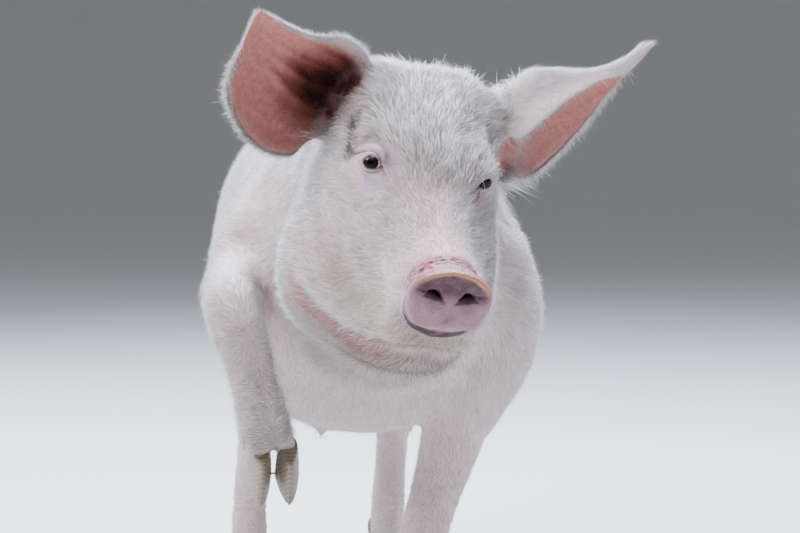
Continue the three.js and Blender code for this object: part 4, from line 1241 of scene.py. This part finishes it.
PATCH = 0.003  # width of a hair's patch on its OFBake map


def coat_piece(name, growths):
    """One mesh of many hairs, with its markings and tint, and its OFBake map: each hair is a small patch at
    its root's place on the unwrapped skin. Each growth is its shell, its looks and its places on the map."""
    shells, looks, maps = zip(*growths)
    places, triangles = joined([shell[:2] for shell in shells])
    places[:, 2] = np.maximum(places[:, 2], 0.5 * MM)
    piece = new_piece(name, places, triangles, bristle)
    per_hair = np.concatenate([np.full(len(look["tint"]), shell[2]) for shell, look in zip(shells, looks)])
    give(piece, {key: np.repeat(np.concatenate([look[key] for look in looks]), per_hair) for key in looks[0]})
    spot = np.repeat(np.clip(np.concatenate(maps), 0.002, 0.998), per_hair, axis=0)
    step = np.arange(len(places)) * 2.399963  # the golden angle keeps a hair's corners apart
    spot = spot + PATCH / 2 * np.stack([np.cos(step), np.sin(step)], 1) * 0.9
    layer = piece.data.uv_layers.new(name="OFBake")
    layer.data.foreach_set("uv", np.clip(spot, 0, 1)[triangles.ravel()].astype(np.float32).ravel())
    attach(piece, "root")


def looks_at(at_root, rng, count, pale):
    """The markings and a tint for each hair: random, and slowly changing from lock to lock."""
    look = {key: np.clip(at_root(mark[key]), 0, 1) for key in HAIR_MARKS}
    lock = 0.5 * noise(at_root(skin_at) / MM, 5.5, 71)
    look["tint"] = np.clip(0.62 + lock + 0.25 * rng.standard_normal(count) + pale, 0, 1)
    return look


# Length, width and lift of the bristles over the hide, in mm and degrees, and how thick they stand.
lines = to_head(skin_at)
m = mirrored(lines)
b = to_body(skin_at)
on_head = part["head"] * (1 - part["ear"])
crown = on_head * soft_step(m[:, 1], 190, 120) * soft_step(m[:, 2], 40, 80) * soft_step(m[:, 0], 86, 62)
muzzle = on_head * soft_step(m[:, 1], 190, 290)
near_eye = np.max([soft_step(lid_place(lines, side)[0], 42, 22) for side in LIDS], 0) * on_head
length = 21 - 9 * part["leg"] - 4 * part["foot"]
length = length * (1 - part["head"]) + part["head"] * (12 + 3 * crown - 6.5 * muzzle - 6.5 * near_eye)
length = length * (1 - part["ear"]) + 10 * part["ear"]
length *= 1 - 0.6 * ridge(along_line(lines, GREY_LINE)[0], 20)
length *= (1 - 0.6 * mark["sore"]) * (1 - 0.5 * mark["ear_in"]) * (1 - 0.4 * mark["front_rim"])
width = 0.52 - 0.1 * part["leg"]
width = width * (1 - part["head"]) + part["head"] * (0.33 - 0.07 * muzzle - 0.08 * near_eye)
width = width * (1 - part["ear"]) + (0.34 - 0.14 * mark["ear_in"]) * part["ear"]
lift = 7 + 3 * part["leg"]
lift = lift * (1 - part["head"]) + part["head"] * (15 + 12 * crown)
thick = 1 - 0.65 * crown
for name, thinned in (("disc", 1.0), ("rim", 1.0), ("bare_eye", 0.93), ("strip", 0.92), ("sore", 0.95),
                      ("ear_in", 0.68), ("blush", 0.5), ("front_rim", 0.5), ("shade", 0.85), ("grey", 0.75)):
    thick *= 1 - thinned * mark[name]
thick *= 1 - soft_step(-facing[:, 2], 0.6, 0.9) * soft_step(b[:, 2], 40, 20)
horn_near, coronet = np.zeros(len(skin_at), bool), np.zeros(len(skin_at))
for name in HORN:
    low, high = (np.array(c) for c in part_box(name))
    horn_near |= ((skin_at > low - 1 * MM) & (skin_at < high + 1 * MM)).all(1)
    beyond = np.maximum(np.maximum(low - skin_at, skin_at - high), 0) / MM
    coronet = np.maximum(coronet, ridge(np.linalg.norm(beyond, axis=1), 7))
thick *= ~horn_near


def combed(at_root, seed, clump, pull, swirl):
    """Root places, normals and ways of hairs. Slow noise swirls the coat, and hairs near each other draw
    together into strands of about clump mm."""
    rng = np.random.default_rng(seed)
    place, normal, way = at_root(skin_at), unit(at_root(facing)), at_root(lie)
    way = unit(way - (way * normal).sum(1)[:, None] * normal)
    spin = swirl * noise(place / MM, 34, seed % 7 + 50) + 0.5 * swirl * noise(place / MM, 11, 60)
    way = turned_about(way, normal, np.radians(spin) + np.radians(7 * rng.standard_normal(len(place))))
    warp = np.stack([noise(place / MM, clump * 1.7, seed_of) for seed_of in (61, 62, 63)], 1)
    warped = place / MM + 0.35 * clump * warp
    centre = place + ((np.floor(warped / clump) + 0.5) * clump - warped) * MM
    draw = (centre - place) - ((centre - place) * normal).sum(1)[:, None] * normal
    draw -= (draw * way).sum(1)[:, None] * way
    return place, normal, way, draw * pull, rng


LENGTH_SPREAD, LIFT_SPREAD = 0.22, 6  # spread of the short hairs' lengths, as a share, and lifts, in degrees


def lay(name, count, weight, seed, unwrap, clump=5.0, pull=0.8, swirl=14, pale=0.0):
    """Short spikes over one part of the hide as one piece."""
    at_root = roots(count, weight, seed)
    place, normal, way, draw, rng = combed(at_root, seed, clump, pull, swirl)
    long = at_root(length) * np.exp(LENGTH_SPREAD * rng.standard_normal(count)) * MM
    wide = at_root(width) * MM
    way = unit(way * long[:, None] + draw)
    up = at_root(lift) + LIFT_SPREAD * rng.standard_normal(count)
    shell = hairs(place, normal, way, long, wide, np.clip(up, 3, 70), np.zeros(count))
    # The hairs of the crown are painted darker: painted shade between the locks of the forehead.
    coat_piece(name, [(shell, looks_at(at_root, rng, count, pale - 0.6 * at_root(crown)), unwrap(place))])


# Axes of the unwraps: the head's height, start and length forward, the trunk's height, start and length back,
# and the middle of the legs sideways and, of the fore, raised and hind ones, behind the elbows, in mm.
HEAD_AXIS, HEAD_START, HEAD_LONG = -20, -80, 420
TRUNK_AXIS, TRUNK_START, TRUNK_LONG = 540, -320, 1290
LEG_SIDE, FORELEG_AT, RAISED_AT, HINDLEG_AT, LEG_TALL = 110.0, 20.0, -230.0, 700.0, 700


def round_the_head(place):
    """Unwraps the head: the angle round its axis, and how far forward."""
    x, s, z = to_head(place).T
    return np.stack([(np.arctan2(x, z - HEAD_AXIS) / np.pi + 1) / 2, (s - HEAD_START) / HEAD_LONG], 1)


def round_the_trunk(place):
    """Unwraps the trunk and neck: the angle round a line at mid height, and how far back."""
    x, y, z = to_body(place).T
    return np.stack([(np.arctan2(x, z - TRUNK_AXIS) / np.pi + 1) / 2, (y - TRUNK_START) / TRUNK_LONG], 1)


def down_the_legs(place):
    """Unwraps the legs as four strips side by side: the angle round each leg, and the height."""
    x, y, z = to_body(place).T
    hind, left = y > 350, x > 0
    raised = (x < 0) & (y < -110)
    middle_x = np.where(left, LEG_SIDE, -LEG_SIDE)
    middle_y = np.where(hind, HINDLEG_AT, np.where(raised, RAISED_AT, FORELEG_AT))
    turn = (np.arctan2(x - middle_x, y - middle_y) / np.pi + 1) / 2
    return np.stack([(hind * 2 + left + turn) / 4, z / LEG_TALL], 1)


def over_the_ears(place):
    """Unwraps the ears as four strips side by side: outer and inner face of each, across and along the
    leaf."""
    spot = np.zeros((len(place), 2))
    for number, (leaf, side, _) in enumerate(leaves.values()):
        along, across, height, off = on_leaf(place, leaf, side)
        here = off < 40
        strip = 2 * number + (height < 0)
        spot[here] = np.stack([(strip + (across + 1) / 2 * 0.96 + 0.02) / 4, along], 1)[here]
    return spot


is_ear = part["ear"] > 0.5
is_head = (part["head"] > 0.5) & ~is_ear
is_leg = (part["leg"] > 0.5) & ~is_head & ~is_ear
trunk_only = ~(is_ear | is_head | is_leg)
on_right = lines[:, 0] < 0
FACE_HAIRS, TRUNK_HAIRS, LEG_HAIRS, EAR_HAIRS = 41000, 43000, 34000, 26000  # short spikes of four triangles
TRUNK_BOUNDS = (-400, 130, 480, 1000)  # where the trunk's pieces meet, behind the elbows, in mm
face_thick = thick * is_head
for name, seed, half in (("right", 101, on_right), ("left", 102, ~on_right)):
    spread = face_thick * half
    lay(f"coat_face_{name}", FACE_HAIRS, spread, seed, round_the_head, clump=4.2, swirl=24, pale=-0.03)
for number, (start, end) in enumerate(zip(TRUNK_BOUNDS[:-1], TRUNK_BOUNDS[1:])):
    here = trunk_only & (b[:, 1] >= start) & (b[:, 1] < end)
    lay(f"coat_trunk_{number + 1}", TRUNK_HAIRS, thick * here, 110 + number, round_the_trunk)
lay("coat_legs", LEG_HAIRS, thick * is_leg, 120, down_the_legs, clump=4)
lay("coat_ears", EAR_HAIRS, thick * is_ear, 130, over_the_ears, clump=4, pull=0.4, swirl=10, pale=0.3)


BENT_LENGTH_SPREAD, BENT_LIFT_SPREAD = 0.25, 9  # the same spreads of the bent hairs


def bent(weight, count, seed, unwrap, long, wide, up, droop, clump=5.0, pull=0.8, swirl=14, rings=2, pale=0.2,
         way_of=None):
    """Bent hairs over part of the hide: their shell, looks and places on the map. way_of may change their
    direction."""
    at_root = roots(count, weight, seed)
    place, normal, way, draw, rng = combed(at_root, seed, clump, pull, swirl)
    if way_of is not None:
        way = way_of(place, at_root, rng)
        way = unit(way - (way * normal).sum(1)[:, None] * normal)
    lengths = long * np.exp(BENT_LENGTH_SPREAD * rng.standard_normal(count)) * MM
    way = unit(way * lengths[:, None] + draw)
    angle = np.clip(up + BENT_LIFT_SPREAD * rng.standard_normal(count), 4, 88)
    widths, droops = np.full(count, wide * MM), np.full(count, float(droop))
    shell = hairs(place, normal, way, lengths, widths, angle, droops, rings)
    return shell, looks_at(at_root, rng, count, pale), unwrap(place)


# Longer wavy strands of the forehead and the crown, and of the cheeks, that stand a little off the short
# coat.
to_canal, to_grey = (along_line(points, line)[0] for points, line in ((m, CANAL_LINE), (lines, GREY_LINE)))
by_canal = np.maximum(soft_step(to_canal, 26, 42), ~on_right)
by_eye = 1 - near_eye * on_right - 0.45 * near_eye * ~on_right
front = crown * soft_step(facing[:, 2], -0.4, 0.2) * soft_step(m[:, 0], 100, 76) * on_head * by_canal
front = front * soft_step(to_grey, 20, 32) * by_eye
cheek = (1 - crown) * (1 - near_eye) * (1 - 0.7 * muzzle) * (m[:, 1] > 40)
coat_piece("coat_strands", [bent(
    face_thick * front, 13500, 140, round_the_head, long=18, wide=0.38, up=26, droop=42, clump=4.2, pull=2.6,
    swirl=66, pale=-0.06,
)])
coat_piece("coat_cheeks", [bent(
    face_thick * cheek, 9500, 141, round_the_head, long=15, wide=0.5, up=19, droop=26, clump=6, pull=1.6,
    swirl=36, pale=0.26,
)])

# Way out over the rim of each ear, at each vertex.
rim_way = np.zeros_like(skin_at)
for name, (leaf, _, _) in leaves.items():
    across = part[f"ear_{name}_at"][1]
    up, over = leaf_ways(leaf, *part[f"ear_{name}_at"][:2])
    rim_way += (over * np.sign(across)[:, None] + 0.55 * up) * part[f"ear_{name}"][:, None]


def over_the_rim(place, at_root, rng):
    """Turns the hairs of an ear's rim outward over it."""
    return at_root(rim_way)


def down_the_lid(place, at_root, rng):
    """Turns lashes down over the eye and outward."""
    return (np.array([-0.25, -0.7, -1.0]) + 0.3 * rng.standard_normal(place.shape)) @ HEAD_TURN.T


def sideways(place, at_root, rng):
    """Turns hairs to the side of the head and a little down."""
    sign = np.where(to_head(place)[:, :1] < 0, -1.0, 1.0)
    return (np.concatenate([sign, 0 * sign + 0.25, 0 * sign - 0.35], 1) * [1, -1, 1]) @ HEAD_TURN.T


# The fringe: short dark hair of the scratch by the right eye, and long white hair at the rims and roots of
# the ears, in the canal, on chin and cheeks, along the back, on the lids and over the claws.
scratch = on_head * ridge(to_grey, 7)
mark["grey"] = np.maximum(mark["grey"], 0.9 * soft_step(scratch, 0.3, 0.8))
fringe = [bent(
    scratch, 800, 159, round_the_head, long=7, wide=0.7, up=12, droop=14, clump=3, swirl=70, pale=-0.6,
)]
mark["grey"] = np.zeros(len(skin_at))  # all the other long hairs are white there
rim = mark["ear_rim"] * is_ear * (1 - 0.85 * part["ear_left"] * (part["ear_left_at"][1] < 0))
ear_foot = (part["head"] > 0.5) * ridge(np.linalg.norm(m - [108, 34, 24], axis=1), 20)
ear_foot = ear_foot * (0.2 + 0.8 * ~on_right)
canal_hair = is_ear * ridge(to_canal, 30) * mark["ear_in"]
beard = on_head * soft_step(m[:, 1], 150, 205) * soft_step(m[:, 2], 10, -30) * (1 - mark["disc"])
whiskers = on_head * ridge(np.linalg.norm(m - [62, 228, -22], axis=1), 22)
chin = on_head * soft_step(m[:, 2], -62, -100) * soft_step(m[:, 1], 90, 150)
crest = trunk_only * ridge(b[:, 0], 42) * soft_step(facing[:, 2], 0.4, 0.8)
fringe += [
    bent(rim, 6500, 150, over_the_ears, long=11.5, wide=0.3, up=12, droop=10, clump=3, pull=0.3, swirl=8,
         pale=0.4, way_of=over_the_rim),
    bent(ear_foot, 800, 151, round_the_head, long=30, wide=0.42, up=30, droop=26, clump=7, pull=2.0, swirl=26,
         rings=3, pale=0.4, way_of=sideways),
    bent(canal_hair, 900, 152, over_the_ears, long=14, wide=0.26, up=36, droop=30, pull=1.5, rings=3),
    bent(beard, 800, 153, round_the_head, long=17, wide=0.34, up=34, droop=30, pull=0.6, swirl=40, rings=3),
    bent(whiskers, 34, 158, round_the_head, long=50, wide=0.36, up=52, droop=24, clump=9, pull=0.1, swirl=50,
         rings=4, pale=0.4, way_of=sideways),
    bent(chin, 1000, 154, round_the_head, long=21, wide=0.38, up=30, droop=34, clump=6, pull=1.2, swirl=36,
         rings=3),
    bent(crest, 2400, 155, round_the_trunk, long=27, wide=0.5, up=22, droop=24, clump=6, pull=1.0),
]
for side, count, pale in (("right", 18, -0.35), ("left", 8, 0.2)):
    far, outside, b_up = lid_place(lines, side)
    lash = (far < 22) * ridge(outside - 1.2, 0.7) * soft_step(b_up, 2, 14)
    fringe.append(bent(
        lash, count, 157, round_the_head, long=8.5, wide=0.22, up=56, droop=40, clump=3, pull=0.5, swirl=60,
        rings=3, pale=pale, way_of=down_the_lid,
    ))
fringe.append(bent(
    coronet * ~horn_near, 2000, 160, down_the_legs, long=11, wide=0.4, up=12, droop=8, clump=4, pull=0.6,
    pale=-0.1,
))
coat_piece("coat_fringe", fringe)
